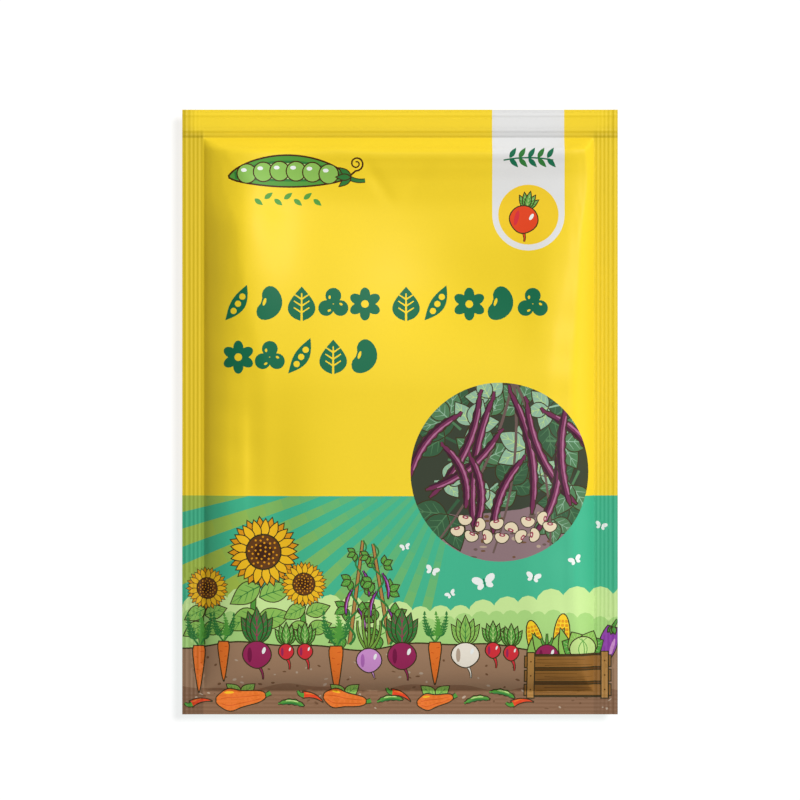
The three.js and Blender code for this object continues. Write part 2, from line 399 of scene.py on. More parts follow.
@dataclass(frozen=True)
class Outline:
    """A closed outline on the flat sheet, in millimetres, which runs anticlockwise."""

    corners: Array

    @classmethod
    def through(cls, corners: Iterable[Sequence[float]]) -> Self:
        """Returns an outline through corners that may run either way."""
        given = cls(np.array([tuple(corner) for corner in corners], float))
        return given if given.area() >= 0 else cls(given.corners[::-1])

    @classmethod
    def box(cls, left: float, bottom: float, right: float, top: float) -> Self:
        """Returns an upright rectangle."""
        return cls.through([(left, bottom), (right, bottom), (right, top), (left, top)])

    @classmethod
    def sheet(cls, sizes: PacketSizes, top: float) -> Self:
        """Returns the part of the flat sheet that is under a level."""
        return cls.box(-sizes.half_width, -sizes.half_height, sizes.half_width, top)

    @classmethod
    def oval(cls, width: float, height: float, steps: int = 22) -> Self:
        """Returns an oval round the origin."""
        angles = [2 * pi * step / steps for step in range(steps)]
        return cls.through([(width / 2 * cos(a), height / 2 * sin(a)) for a in angles])

    @classmethod
    def disc(cls, diameter: float, steps: int = 22) -> Self:
        """Returns a circle round the origin."""
        return cls.oval(diameter, diameter, steps)

    @classmethod
    def round_box(cls, width: float, height: float, radius: float) -> Self:
        """Returns a rectangle with round corners, with the origin at its middle."""
        steps = 5
        corners = []
        for quarter, (side, up) in enumerate(((1, 1), (-1, 1), (-1, -1), (1, -1))):
            for step in range(steps + 1):
                angle = pi / 2 * (quarter + step / steps)
                x = side * (width / 2 - radius) + radius * cos(angle)
                corners.append((x, up * (height / 2 - radius) + radius * sin(angle)))
        return cls.through(corners)

    @classmethod
    def ribbon(cls, spine: Points, widths: Sequence[float]) -> Self:
        """Draws a band along a line.

        Args:
            spine: The points of the band's middle line.
            widths: The band's width at each of them.

        Returns:
            The band's outline.
        """
        line = np.array(spine, float)
        run = np.gradient(line, axis=0)
        run /= np.linalg.norm(run, axis=1, keepdims=True)
        across = np.stack([-run[:, 1], run[:, 0]], axis=1) * np.array(widths, float)[:, None] / 2
        return cls.through(np.concatenate([line + across, (line - across)[::-1]]))

    @classmethod
    def blade(cls, length: float, width: float, belly: float = 0.8, steps: int = 9) -> Self:
        """Returns a leaf shape that starts at the origin and points along +X, widest nearer its stem."""
        shares = [step / steps for step in range(1, steps)]
        upper = [(length * t, width / 2 * sin(pi * t**belly)) for t in shares]
        lower = [(x, -y) for x, y in reversed(upper)]
        return cls.through([(0, 0), *lower[::-1], (length, 0), *upper[::-1]])

    @classmethod
    def kidney(cls, length: float, width: float, bend: float, steps: int = 22) -> Self:
        """Returns a bean shape round the origin with its hollow towards +Y."""
        corners = []
        for step in range(steps):
            angle = 2 * pi * step / steps
            x = length / 2 * cos(angle)
            hollow = 0.16 * width * max(sin(angle), 0) * exp(-((x / (0.17 * length)) ** 2))
            corners.append((x, width / 2 * sin(angle) + bend * cos(angle) ** 2 - hollow))
        return cls.through(corners)

    def moved(self, x: float, y: float) -> "Outline":
        """Returns the outline moved."""
        return Outline(self.corners + (x, y))

    def turned(self, degrees: float) -> "Outline":
        """Returns the outline turned anticlockwise about the origin."""
        c, s = cos(radians(degrees)), sin(radians(degrees))
        return Outline(self.corners @ np.array([[c, s], [-s, c]]))

    def scaled(self, across: float, up: float) -> "Outline":
        """Returns the outline scaled about the origin, or mirrored by a value below 0."""
        return Outline.through(self.corners * (across, up))

    def bent(self, curve: float) -> "Outline":
        """Returns the outline with its ends along X bent towards +Y, by curve times the distance squared."""
        return Outline(self.corners + np.stack([0 * self.corners[:, 0], curve * self.corners[:, 0] ** 2], 1))

    def grown(self, distance: float) -> "Outline":
        """Returns the outline with every edge moved outwards, or inwards for a distance below 0.

        Where the shape is thinner than the distance takes away, the result runs clockwise and holds nothing.
        """
        inward_run = self.corners - np.roll(self.corners, 1, axis=0)
        outward_run = np.roll(inward_run, -1, axis=0)
        sides = []
        for run in (inward_run, outward_run):
            length = np.maximum(np.linalg.norm(run, axis=1, keepdims=True), 1e-9)
            sides.append(np.stack([run[:, 1], -run[:, 0]], axis=1) / length)
        both = sides[0] + sides[1]
        strength = np.maximum(np.sum(both**2, axis=1, keepdims=True) / 2, 0.5)
        return Outline(self.corners + distance * both / strength)

    def area(self) -> float:
        """Returns the area inside."""
        following = np.roll(self.corners, -1, axis=0)
        cross = self.corners[:, 0] * following[:, 1] - following[:, 0] * self.corners[:, 1]
        return float(cross.sum() / 2)

    def clipped(self, window: "Outline") -> "Outline | None":
        """Keeps what is inside a window.

        Args:
            window: A convex outline.

        Returns:
            What is left of this outline, or None.
        """
        corners = self.corners
        for start, end in zip(window.corners, np.roll(window.corners, -1, axis=0)):
            depth = (corners - start) @ np.array([start[1] - end[1], end[0] - start[0]])
            if (depth >= 0).all():
                continue
            if (depth <= 0).all():
                return None
            kept = []
            for index in range(len(corners)):
                following = (index + 1) % len(corners)
                if depth[index] >= 0:
                    kept.append(corners[index])
                if (depth[index] >= 0) != (depth[following] >= 0):
                    share = depth[index] / (depth[index] - depth[following])
                    kept.append(corners[index] + share * (corners[following] - corners[index]))
            corners = np.array(kept)
        return Outline(corners)

    def holds(self, places: Array) -> Array:
        """Finds the places inside, also where the outline crosses itself.

        Args:
            places: Points on the flat sheet, sorted from left to right.

        Returns:
            The indices of the points that it winds round anticlockwise.
        """
        low, high = self.corners.min(axis=0), self.corners.max(axis=0)
        first, last = np.searchsorted(places[:, 0], (low[0], high[0]))
        level = places[first:last, 1]
        near = first + np.flatnonzero((level > low[1]) & (level < high[1]))
        x, y = places[near, 0, None], places[near, 1, None]
        start, end = self.corners, np.roll(self.corners, -1, axis=0)
        run = end - start
        left_of = run[:, 0] * (y - start[:, 1]) - run[:, 1] * (x - start[:, 0]) > 0
        rises = (start[:, 1] <= y) & (y < end[:, 1]) & left_of
        falls = (end[:, 1] <= y) & (y < start[:, 1]) & ~left_of
        return near[rises.sum(axis=1) > falls.sum(axis=1)]


@dataclass(frozen=True)
class Patch:
    """One outline filled with one ink."""

    outline: Outline
    ink: Ink


class Artwork:
    """Patches of ink in printing order: a later one covers an earlier one."""

    def __init__(self) -> None:
        """Starts with nothing printed."""
        self.patches: list[Patch] = []

    def fill(self, outline: Outline, ink: Ink) -> Self:
        """Prints an outline with no line round it, unless nothing is left of it."""
        least_area = 0.01
        if outline.area() > least_area:
            self.patches.append(Patch(outline, ink))
        return self

    def lined(self, outline: Outline, ink: Ink, line: float = 0.34, line_ink: Ink = Ink.LINE) -> Self:
        """Prints an outline with a thin dark line round it."""
        self.fill(outline.grown(line / 2), line_ink)
        return self.fill(outline.grown(-line / 2), ink)

    def stroke(self, spine: Points, start: float, end: float, ink: Ink) -> Self:
        """Prints a line that goes from one width to another."""
        return self.fill(Outline.ribbon(spine, np.linspace(start, end, len(spine))), ink)

    def lined_stroke(self, spine: Points, start: float, end: float, ink: Ink) -> Self:
        """Prints a tapering band with a thin dark line round it."""
        both_lines = 0.5
        self.stroke(spine, start + both_lines, end + both_lines, Ink.LINE)
        return self.stroke(spine, start, end, ink)

    def add(
        self, other: "Artwork", x: float = 0, y: float = 0, turn: float = 0, flip: bool = False
    ) -> Self:
        """Prints another artwork over this one.

        Args:
            other: The artwork, round its own origin.
            x: Where its origin goes across the sheet.
            y: Where its origin goes up the sheet.
            turn: How far it is turned anticlockwise, in degrees.
            flip: True if it is first mirrored left to right.

        Returns:
            This artwork.
        """
        for patch in other.patches:
            placed = patch.outline.scaled(-1 if flip else 1, 1).turned(turn).moved(x, y)
            self.patches.append(Patch(placed, patch.ink))
        return self

    def clipped(self, window: Outline) -> "Artwork":
        """Returns what of this artwork is inside a convex window."""
        inside = Artwork()
        for patch in self.patches:
            outline = patch.outline.clipped(window)
            if outline is not None:
                inside.fill(outline, patch.ink)
        return inside


def arc(start: Sequence[float], end: Sequence[float], bow: float, steps: int = 8) -> list[Pair]:
    """Draws a line that bows to one side.

    Args:
        start: Where it starts.
        end: Where it ends.
        bow: How far its middle is to the left of the straight line, as a share of its length.
        steps: How many stretches it has.

    Returns:
        Its points.
    """
    run_x, run_y = end[0] - start[0], end[1] - start[1]
    points = []
    for step in range(steps + 1):
        t = step / steps
        aside = 4 * bow * t * (1 - t)
        points.append((start[0] + run_x * t - run_y * aside, start[1] + run_y * t + run_x * aside))
    return points


class Garden:
    """Small drawings of garden things, each round its own origin, in millimetres."""

    @staticmethod
    def leaf(length: float, width: float, ink: Ink, vein: Ink, bend: float = 0.0) -> Artwork:
        """Draws a leaf with its veins, from the origin along +X."""
        art = Artwork()
        art.lined(Outline.blade(length, width).bent(bend), ink, 0.3)
        middle = [(length * t, bend * (length * t) ** 2) for t in (0.02, 0.3, 0.6, 0.92)]
        art.stroke(middle, 0.035 * length, 0.012 * length, vein)
        for share in (0.2, 0.4, 0.6):
            root = (share * length, bend * (share * length) ** 2)
            reach = share + 0.2
            aside = 0.38 * width * sin(pi * reach**0.8)
            for side in (-1, 1):
                tip = (reach * length, bend * (reach * length) ** 2 + side * aside)
                art.stroke([root, tip], 0.022 * length, 0.01 * length, vein)
        return art

    @staticmethod
    def trefoil(size: float, ink: Ink, vein: Ink) -> Artwork:
        """Draws a bean plant's leaf: three leaflets on a short stalk."""
        art = Artwork()
        art.stroke([(0, 0), (0.35 * size, 0)], 0.05 * size, 0.04 * size, ink)
        for turn in (58, -58, 0):
            leaflet = Garden.leaf(0.62 * size, 0.4 * size, ink, vein)
            art.add(leaflet, 0.3 * size, 0, turn)
        return art

    @staticmethod
    def pod(length: float, width: float, bow: float, inks: tuple[Ink, Ink, Ink], beans: int = 7) -> Artwork:
        """Draws a closed pod along +X, lumpy where its beans are, in inks for body, light and shade."""
        body, light, shade = inks
        spine = arc((0, 0), (length, 0), bow, 4 * beans)
        shares = np.linspace(0, 1, len(spine))
        round_ends = np.sin(np.pi * np.clip(shares, 0.02, 0.98)) ** 0.4
        widths = width * round_ends * (0.86 + 0.14 * np.cos(2 * np.pi * beans * shares - np.pi))
        art = Artwork().lined(Outline.ribbon(spine, widths), body)
        for aside, share, ends, ink in ((-0.24, 0.3, 2, shade), (0.17, 0.2, 4, light)):
            streak = [(x, y + aside * width) for x, y in spine[ends:-ends]]
            art.fill(Outline.ribbon(streak, share * widths[ends:-ends]), ink)
        art.lined_stroke(arc((-0.05 * length, 0), (0.015 * length, 0), 0), 0.16 * width, 0.34 * width, body)
        return art

    @staticmethod
    def open_pod(length: float, width: float, bow: float, peas: int) -> Artwork:
        """Draws a green pod split open along its side, with a row of round peas in it."""
        spine = arc((0, 0), (length, 0), bow, 40)
        shares = np.linspace(0, 1, len(spine))
        widths = width * np.sin(np.pi * np.clip(shares, 0.004, 0.99)) ** 0.6
        art = Artwork().lined(Outline.ribbon(spine, widths), Ink.LEAF, 0.5, Ink.SEED_DARK)
        art.fill(Outline.ribbon(spine[2:-2], 0.66 * widths[2:-2]), Ink.LEAF_DARK)
        art.fill(Outline.ribbon(spine[4:-4], 0.5 * widths[4:-4]), Ink.LEAF_PALE)
        size = 0.62 * width
        for pea in range(peas):
            share = (pea + 1.1) / (peas + 1.2)
            x = length * share
            y = 4 * bow * share * (1 - share) * length
            art.lined(Outline.disc(size).moved(x, y), Ink.LEAF_LIGHT, 0.36, Ink.SEED_DARK)
            shine = Outline.oval(0.3 * size, 0.2 * size, 10).moved(x - 0.15 * size, y + 0.18 * size)
            art.fill(shine, Ink.WHITE)
        return art

    @staticmethod
    def pea(length: float) -> Artwork:
        """Draws a dry pinkeye pea: a cream bean with a dark pink eye round its hilum."""
        art = Artwork().lined(Outline.kidney(length, 0.74 * length, 0.1 * length), Ink.PEA_CREAM, 0.26)
        art.fill(Outline.oval(0.44 * length, 0.22 * length, 14).moved(0, 0.2 * length), Ink.PEA_EYE)
        hilum = Outline.oval(0.2 * length, 0.07 * length, 10).moved(0, 0.21 * length)
        return art.fill(hilum, Ink.ROOT_WHITE)

    @staticmethod
    def sunflower(radius: float) -> Artwork:
        """Draws a sunflower's head seen from the front."""
        art = Artwork()
        for ring, (reach, petals, ink) in enumerate(((1.0, 17, Ink.PETAL_DEEP), (0.9, 17, Ink.PETAL))):
            for petal in range(petals):
                turn = 360 * (petal + 0.5 * ring) / petals
                blade = Outline.blade(0.62 * reach * radius, 0.25 * radius, 0.9, 6)
                art.lined(blade.moved(0.38 * radius, 0).turned(turn), ink, 0.028 * radius)
        art.lined(Outline.disc(0.98 * radius, 30), Ink.SEED_BROWN, 0.04 * radius)
        art.fill(Outline.disc(0.52 * radius), Ink.SEED_DARK)
        for seed in range(34):
            turn = seed * 2.39996
            reach = 0.074 * radius * sqrt(seed + 0.6)
            dot = Outline.disc(0.062 * radius, 6)
            art.fill(dot.moved(reach * cos(turn), reach * sin(turn)), Ink.PETAL_DEEP)
        return art

    @staticmethod
    def sunflower_plant(height: float, radius: float, lean: float) -> Artwork:
        """Draws a sunflower on its stem, which stands on the origin."""
        art = Artwork()
        head = (lean, height)
        stem = arc((0, 0), head, 0.06)
        art.lined_stroke(stem, 1.5, 1.0, Ink.LEAF)
        for share, side in ((0.24, 1), (0.36, -1), (0.52, 1), (0.64, -1)):
            leaf = Garden.leaf(0.8 * radius + 2, 0.46 * radius + 1.4, Ink.LEAF_LIGHT, Ink.LEAF_DARK, -0.012)
            art.add(leaf, lean * share, height * share, 24, flip=side < 0)
        return art.add(Garden.sunflower(radius), *head, 12)

    @staticmethod
    def butterfly(span: float) -> Artwork:
        """Draws a small white butterfly."""
        art = Artwork()
        for side in (-1, 1):
            wing = Outline.oval(0.46 * span, 0.3 * span, 14).turned(32).moved(0.25 * span, 0.12 * span)
            tail = Outline.oval(0.3 * span, 0.22 * span, 12).turned(-35).moved(0.18 * span, -0.12 * span)
            art.fill(wing.scaled(side, 1), Ink.WHITE)
            art.fill(tail.scaled(side, 1), Ink.WHITE)
        return art.stroke([(0, 0.16 * span), (0, -0.2 * span)], 0.05 * span, 0.03 * span, Ink.DEEP_GREEN)

    @staticmethod
    def tuft(blades: int, height: float, spread: float, ink: Ink) -> Artwork:
        """Draws a tuft of narrow leaves that fans up from the origin."""
        art = Artwork()
        foot, point = 0.9, 0.18
        for blade in range(blades):
            share = 2 * blade / (blades - 1) - 1
            tip = (spread * share, height * (1 - 0.3 * share * share))
            art.lined_stroke(arc((0.1 * share, 0), tip, -0.12 * share), foot, point, ink)
        return art

    @staticmethod
    def frond(height: float, lean: float, ink: Ink) -> Artwork:
        """Draws a feathery carrot leaf that rises from the origin."""
        art = Artwork()
        spine = arc((0, 0), (lean, height), -0.1 if lean > 0 else 0.1, 9)
        art.stroke(spine, 0.07 * height, 0.03 * height, ink)
        for index in range(2, len(spine)):
            x, y = spine[index]
            reach = 0.26 * height * (1.2 - index / len(spine))
            for turn in (34, 68, 112, 146):
                art.fill(Outline.blade(reach, 0.26 * reach + 0.1, 1.1, 5).turned(turn).moved(x, y), ink)
        return art.fill(Outline.blade(0.16 * height, 0.08 * height).turned(90).moved(lean, height), ink)

    @staticmethod
    def carrot(length: float, width: float) -> Artwork:
        """Draws a carrot that hangs down from the origin, with its leaves above."""
        art = Artwork()
        for lean, ink in ((-0.24, Ink.LEAF_DARK), (0.26, Ink.LEAF_DARK), (0.02, Ink.LEAF)):
            art.add(Garden.frond(0.62 * length, lean * length, ink))
        spine = [(0, -length * t) for t in np.linspace(0, 1, 12)]
        widths = [width * (1 - t) ** 0.75 * min(1.0, 0.72 + 2.4 * t) + 0.16 for t in np.linspace(0, 1, 12)]
        art.lined(Outline.ribbon(spine, widths), Ink.CARROT)
        for share, side in ((0.12, 1), (0.24, -1), (0.36, 1), (0.5, -1), (0.64, 1)):
            start = side * 0.36 * width * (1 - share)
            ring = [(start, -share * length), (0.25 * start, -share * length - 0.2)]
            art.stroke(ring, 0.3, 0.14, Ink.CARROT_SHADE)
        return art

    @staticmethod
    def bulb(width: float, depth: float, inks: tuple[Ink, Ink], tail: float, top: Artwork) -> Artwork:
        """Draws a round root or bulb under the origin, with a thin tail and the given leaves above."""
        body, shade = inks
        art = Artwork().add(top, 0, -0.1 * depth)
        art.lined_stroke(arc((0, -0.85 * depth), (0.2 * width, -depth - tail), 0.12), 0.7, 0.1, body)
        corners = []
        steps = 26
        for step in range(steps):
            angle = 2 * pi * step / steps
            narrowing = 1 - 0.22 * max(-sin(angle), 0) ** 2
            corners.append((width / 2 * cos(angle) * narrowing, depth / 2 * (sin(angle) - 1)))
        art.lined(Outline.through(corners), body)
        art.fill(Outline.oval(0.16 * width, 0.56 * depth, 12).moved(-0.25 * width, -0.5 * depth), shade)
        shine = Outline.oval(0.12 * width, 0.26 * depth, 10).turned(-18).moved(0.24 * width, -0.34 * depth)
        return art.fill(shine, Ink.WHITE)

    @staticmethod
    def leafy_top(height: float, spread: float, ink: Ink, rib: Ink) -> Artwork:
        """Draws the upright leaves of a beet or a radish, which rise from the origin."""
        art = Artwork()
        for share in (-1.0, 1.0, -0.5, 0.5, 0.0):
            length = height * (1 - 0.16 * abs(share))
            turn = 90 - 34 * share * spread
            art.add(Garden.leaf(length, 0.36 * height, ink, rib), 0, 0, turn)
        return art

    @staticmethod
    def cabbage(width: float) -> Artwork:
        """Draws a round cabbage."""
        art = Artwork()
        for turn, ink in ((150, Ink.LEAF), (30, Ink.LEAF), (118, Ink.LEAF_LIGHT), (62, Ink.LEAF_LIGHT)):
            art.add(Garden.leaf(0.56 * width, 0.5 * width, ink, Ink.LEAF_PALE), 0, -0.1 * width, turn)
        art.lined(Outline.oval(0.62 * width, 0.56 * width), Ink.LEAF_PALE)
        for bow in (-0.3, 0.3, -0.1):
            vein = arc((0, -0.24 * width), (0.3 * bow * width, 0.24 * width), bow)
            art.stroke(vein, 0.3, 0.2, Ink.LEAF)
        return art

    @staticmethod
    def corn(length: float) -> Artwork:
        """Draws a corn cob that stands on the origin, in its husk."""
        art = Artwork()
        cob = Outline.oval(0.34 * length, length).moved(0, 0.55 * length)
        art.lined(cob, Ink.CORN)
        for row in range(8):
            level = 0.3 + 0.085 * row
            reach = 0.1 * sqrt(1 - ((level - 0.55) / 0.5) ** 2)
            for column in range(-1, 2):
                kernel = Outline.round_box(0.75 * reach * length, 0.06 * length, 0.02 * length)
                art.fill(kernel.moved(reach * length * column, level * length), Ink.PETAL_DEEP)
        for side in (-1, 1):
            husk = Outline.blade(0.8 * length, 0.3 * length).bent(0.02).turned(90)
            art.lined(husk.moved(0.14 * length, -0.04 * length).scaled(side, 1), Ink.LEAF_LIGHT)
        return art

    @staticmethod
    def aubergine(length: float) -> Artwork:
        """Draws an aubergine that leans against something, with its stalk up."""
        spine = [(0, length * t) for t in np.linspace(0, 1, 12)]
        widths = [0.5 * length * sin(pi * (0.06 + 0.8 * t)) ** 0.6 for t in np.linspace(0, 1, 12)]
        art = Artwork().lined(Outline.ribbon(spine, widths), Ink.PURPLE)
        art.fill(Outline.oval(0.1 * length, 0.5 * length, 12).moved(0.13 * length, 0.45 * length), Ink.ONION)
        for turn in (60, 90, 120):
            sepal = Outline.blade(0.22 * length, 0.14 * length).turned(turn - 180)
            art.lined(sepal.moved(0, length), Ink.LEAF)
        return art.lined_stroke([(0, length), (0.06 * length, 1.22 * length)], 0.8, 0.5, Ink.LEAF)

    @staticmethod
    def crate(width: float, height: float) -> Artwork:
        """Draws an open wooden crate that stands on the origin, with three slats and two posts."""
        art = Artwork()
        art.lined(Outline.box(-width / 2 + 0.8, 0, width / 2 - 0.8, height), Ink.WOOD_DARK)
        slats = 3
        slat = height / slats
        post_x = width / 2 - 1.9
        for row in range(slats):
            bottom = row * slat + 0.35
            art.lined(Outline.box(-width / 2, bottom, width / 2, bottom + slat - 0.8), Ink.WOOD)
            for grain in range(3):
                level = bottom + slat * (0.16 + 0.2 * grain)
                start = -width / 2 + 1.4 + 2.3 * ((grain + row) % 3)
                line = arc((start, level), (start + 0.55 * width, level), 0.012 * (-1) ** grain)
                art.stroke(line, 0.16, 0.1, Ink.WOOD_DARK)
        for side in (-1, 1):
            post = Outline.box(-1.1, -0.4, 1.1, height + 0.6).moved(side * post_x, 0)
            art.lined(post, Ink.WOOD_LIGHT)
            for row in range(slats):
                nail = Outline.disc(0.5, 8).moved(side * post_x, (row + 0.5) * slat)
                art.fill(nail, Ink.WOOD_DARK)
        return art

    @staticmethod
    def butternut(length: float) -> Artwork:
        """Draws a butternut squash that lies along +X, round its middle."""
        turns = np.linspace(0.04, 0.96, 22) * np.pi
        shares = (1 - np.cos(turns)) / 2
        spine = [(length * (share - 0.5), 0.1 * length * (share - 0.5) ** 2) for share in shares]
        body = (0.3 + 0.2 * np.exp(-(((shares - 0.25) / 0.2) ** 2))) * np.sin(turns) ** 0.7
        art = Artwork().lined_stroke([(0.47 * length, 0), (0.6 * length, 0.06 * length)], 0.9, 1.2, Ink.LEAF)
        art.lined(Outline.ribbon(spine, length * body), Ink.CARROT)
        for level in (-0.25, 0.1):
            rib = [(x, y + level * length * width) for (x, y), width in zip(spine, body)]
            art.stroke(rib[4:-4], 0.22, 0.16, Ink.CARROT_SHADE)
        shine = Outline.oval(0.2 * length, 0.05 * length, 12).turned(-4).moved(-0.22 * length, 0.15 * length)
        return art.fill(shine, Ink.PETAL)

    @staticmethod
    def chilli(length: float) -> Artwork:
        """Draws a red chilli from its stalk at the origin along +X."""
        spine = arc((0, 0), (length, 0), 0.12, 10)
        widths = [0.3 * length * (1 - share) ** 0.8 + 0.2 for share in np.linspace(0, 1, len(spine))]
        art = Artwork().lined(Outline.ribbon(spine, widths), Ink.BADGE_RED)
        light = [(x, y + 0.06 * length) for x, y in spine[1:6]]
        art.stroke(light, 0.07 * length, 0.03 * length, Ink.CARROT)
        stalk = arc((-0.28 * length, 0.1 * length), (0.06 * length, 0), -0.2)
        return art.lined_stroke(stalk, 0.5, 1.3, Ink.LEAF)

    @staticmethod
    def bean_pole(height: float, lean: float) -> Artwork:
        """Draws a climbing bean on its pole, which stands on the origin."""
        art = Artwork()
        top = (lean, height)
        art.lined_stroke([(0, 0), top], 0.9, 0.6, Ink.WOOD_LIGHT)
        turns, swing, steps = 3.5, 1.3, 42
        vine = []
        for step in range(steps + 1):
            t = step / steps
            vine.append((lean * t + swing * sin(2 * pi * turns * t), height * t))
        art.stroke(vine, 0.75, 0.45, Ink.LEAF_DARK)
        for index in range(7):
            t = 0.12 + 0.13 * index
            side = 1 if index % 2 else -1
            base = (lean * t + side * 0.8, height * t)
            art.add(Garden.trefoil(7.2 - 0.5 * index, Ink.LEAF, Ink.LEAF_LIGHT), *base, 28, flip=side < 0)
        pods = (Ink.PURPLE, Ink.ONION, Ink.BEET_SHADE)
        for t, side in ((0.34, 1), (0.52, -1), (0.7, 1)):
            pod = Garden.pod(7.5, 1.1, 0.1 * side, pods, 4)
            art.add(pod, lean * t + side * 1.4, height * t, -90 + 12 * side)
        return art


@dataclass(frozen=True)
class Emblem:
    """An open pod over a row of small leaves, in the upper left of the front."""

    centre: Pair = (-33.4, 70.6)
    length: float = 35.0
    width: float = 9.4
    peas: int = 6
    leaflets: int = 7
    leaflet_pitch: float = 2.9
    leaflets_down: float = 7.2

    def draw(self) -> Artwork:
        """Returns the emblem, whose pod has sepals, a stalk and a tendril at its right end."""
        art = Artwork()
        x, y = self.centre
        left, stalk = x - self.length / 2, x + self.length / 2 + 0.9
        tendril = [(stalk, y - 0.4), (stalk + 0.9, y + 0.5)]
        curl_x, curl_y = stalk + 2.0, y + 3.4
        for step in range(24):
            turn = radians(-96 + 25 * step)
            radius = 2.2 - 0.075 * step
            tendril.append((curl_x + radius * cos(turn), curl_y + radius * sin(turn)))
        art.stroke(tendril, 0.55, 0.4, Ink.SEED_DARK)
        art.lined_stroke(arc((stalk - 0.6, y - 0.5), (stalk + 4.6, y - 1.6), -0.1), 1.0, 0.8, Ink.LEAF_DARK)
        art.add(Garden.open_pod(self.length, self.width, 0.05, self.peas), left, y - 0.6)
        for turn in (-38, 38, 0):
            sepal = Outline.blade(4.6, 1.9).turned(180 - turn).moved(stalk + 0.4, y - 0.6)
            art.lined(sepal, Ink.LEAF_DARK, 0.3, Ink.SEED_DARK)
        for index in range(self.leaflets):
            leaflet = Outline.blade(3.1, 1.5).turned(38 if index % 2 else -38)
            place_x = x - 9.8 + self.leaflet_pitch * index
            art.fill(leaflet.moved(place_x, y - self.leaflets_down), Ink.LEAF)
        return art


@dataclass(frozen=True)
class Badge:
    """A pale tab that hangs from the top edge, with a sprig, a yellow disc and a radish."""

    centre_x: float = 38.25
    half_width: float = 10.75
    disc_y: float = 58.8
    disc_radius: float = 8.96
    sprig_y: float = 75.6
    leaf_pairs: int = 5
    leaf_pitch: float = 2.8

    def draw(self, top_edge: float) -> Artwork:
        """Returns the badge, whose tab starts at the sheet's top edge."""
        art = Artwork()
        steps = 24
        round_end = []
        for step in range(steps + 1):
            angle = pi * (1 + step / steps)
            x = self.centre_x + self.half_width * cos(angle)
            round_end.append((x, self.disc_y + self.half_width * sin(angle)))
        corners = [(self.centre_x + self.half_width, top_edge), (self.centre_x - self.half_width, top_edge)]
        art.fill(Outline.through([*round_end, *corners]), Ink.BADGE)
        art.add(self.sprig(), self.centre_x, self.sprig_y)
        disc = Outline.disc(2 * self.disc_radius, 44)
        art.fill(disc.moved(self.centre_x, self.disc_y), Ink.BADGE_DISC)
        leaves = Garden.leafy_top(5.4, 1.2, Ink.LEAF, Ink.LEAF_PALE)
        radish = Garden.bulb(8.6, 8.4, (Ink.BADGE_RED, Ink.RADISH), 2.2, leaves)
        return art.add(radish, self.centre_x - 0.4, self.disc_y + 2.6, -14)

    def sprig(self) -> Artwork:
        """Returns a level twig with five pairs of small leaves, round its middle."""
        art = Artwork()
        art.stroke(arc((-7.4, -0.6), (7.4, -0.6), 0.05), 0.45, 0.45, Ink.DEEP_GREEN)
        for index in range(self.leaf_pairs):
            x = -5.6 + self.leaf_pitch * index
            for side in (-1, 1):
                leaf = Outline.blade(3.7, 1.5).turned(58 if side > 0 else -46)
                art.fill(leaf.moved(x, 0.05 * side), Ink.LEAF_DARK if index % 2 else Ink.DEEP_GREEN)
        return art


@dataclass(frozen=True)
class SilhouetteRows:
    """Two rows of bold dark green garden shapes, across the middle of the yellow field."""

    height: float = 10.4
    upper_y: float = 32.1
    lower_y: float = 16.3
    left: float = -48.0
    pitch: float = 9.4
    second_left: float = 1.8

    def shapes(self) -> list[Artwork]:
        """Returns the five shapes, each as tall as the row, with details left in the ground's yellow."""
        green, ground = Ink.DEEP_GREEN, Ink.YELLOW
        pod = Artwork().fill(Outline.blade(12.4, 4.4, 1.0, 12).moved(-6.2, 0).bent(0.02).turned(58), green)
        for step in (-2.5, 0.0, 2.5):
            pea = Outline.disc(1.9, 14).moved(step, 0.1).turned(58)
            pod.fill(pea, ground)
        blade = Outline.blade(self.height, 8.2, 0.7, 12).turned(90)
        leaf = Artwork().fill(blade.moved(0, -self.height / 2), green)
        leaf.stroke([(0, -self.height / 2), (0, 3.2)], 0.7, 0.4, ground)
        for level in (-2.6, -0.6, 1.4):
            for side in (-1, 1):
                leaf.stroke([(0, level), (side * 2.3, level + 1.5)], 0.5, 0.35, ground)
        bean = Artwork().fill(Outline.kidney(self.height, 7.2, 0.9).turned(72), green)
        bean.fill(Outline.oval(2.4, 0.9, 14).turned(72).moved(-1.6, 0.6), ground)
        flower = Artwork()
        for petal in range(6):
            flower.fill(Outline.oval(4.5, 3.1, 16).moved(2.7, 0).turned(60 * petal + 30), green)
        flower.fill(Outline.disc(2.3, 16), ground)
        trio = Artwork()
        for turn in (90, 210, 330):
            trio.fill(Outline.disc(4.7, 20).moved(2.45, 0).turned(turn), green)
            trio.fill(Outline.oval(1.1, 0.7, 10).moved(2.0, 1.1).turned(turn), ground)
        return [pod, leaf, bean, flower, trio]

    def draw(self) -> Artwork:
        """Returns both rows."""
        art = Artwork()
        shapes = self.shapes()
        for start, level, order in (
            (self.left, self.upper_y, (0, 2, 1, 4, 3)),
            (self.second_left, self.upper_y, (1, 0, 3, 2, 4)),
            (self.left, self.lower_y, (3, 4, 0, 1, 2)),
        ):
            for place, shape in enumerate(order):
                art.add(shapes[shape], start + self.pitch * place, level)
        return art


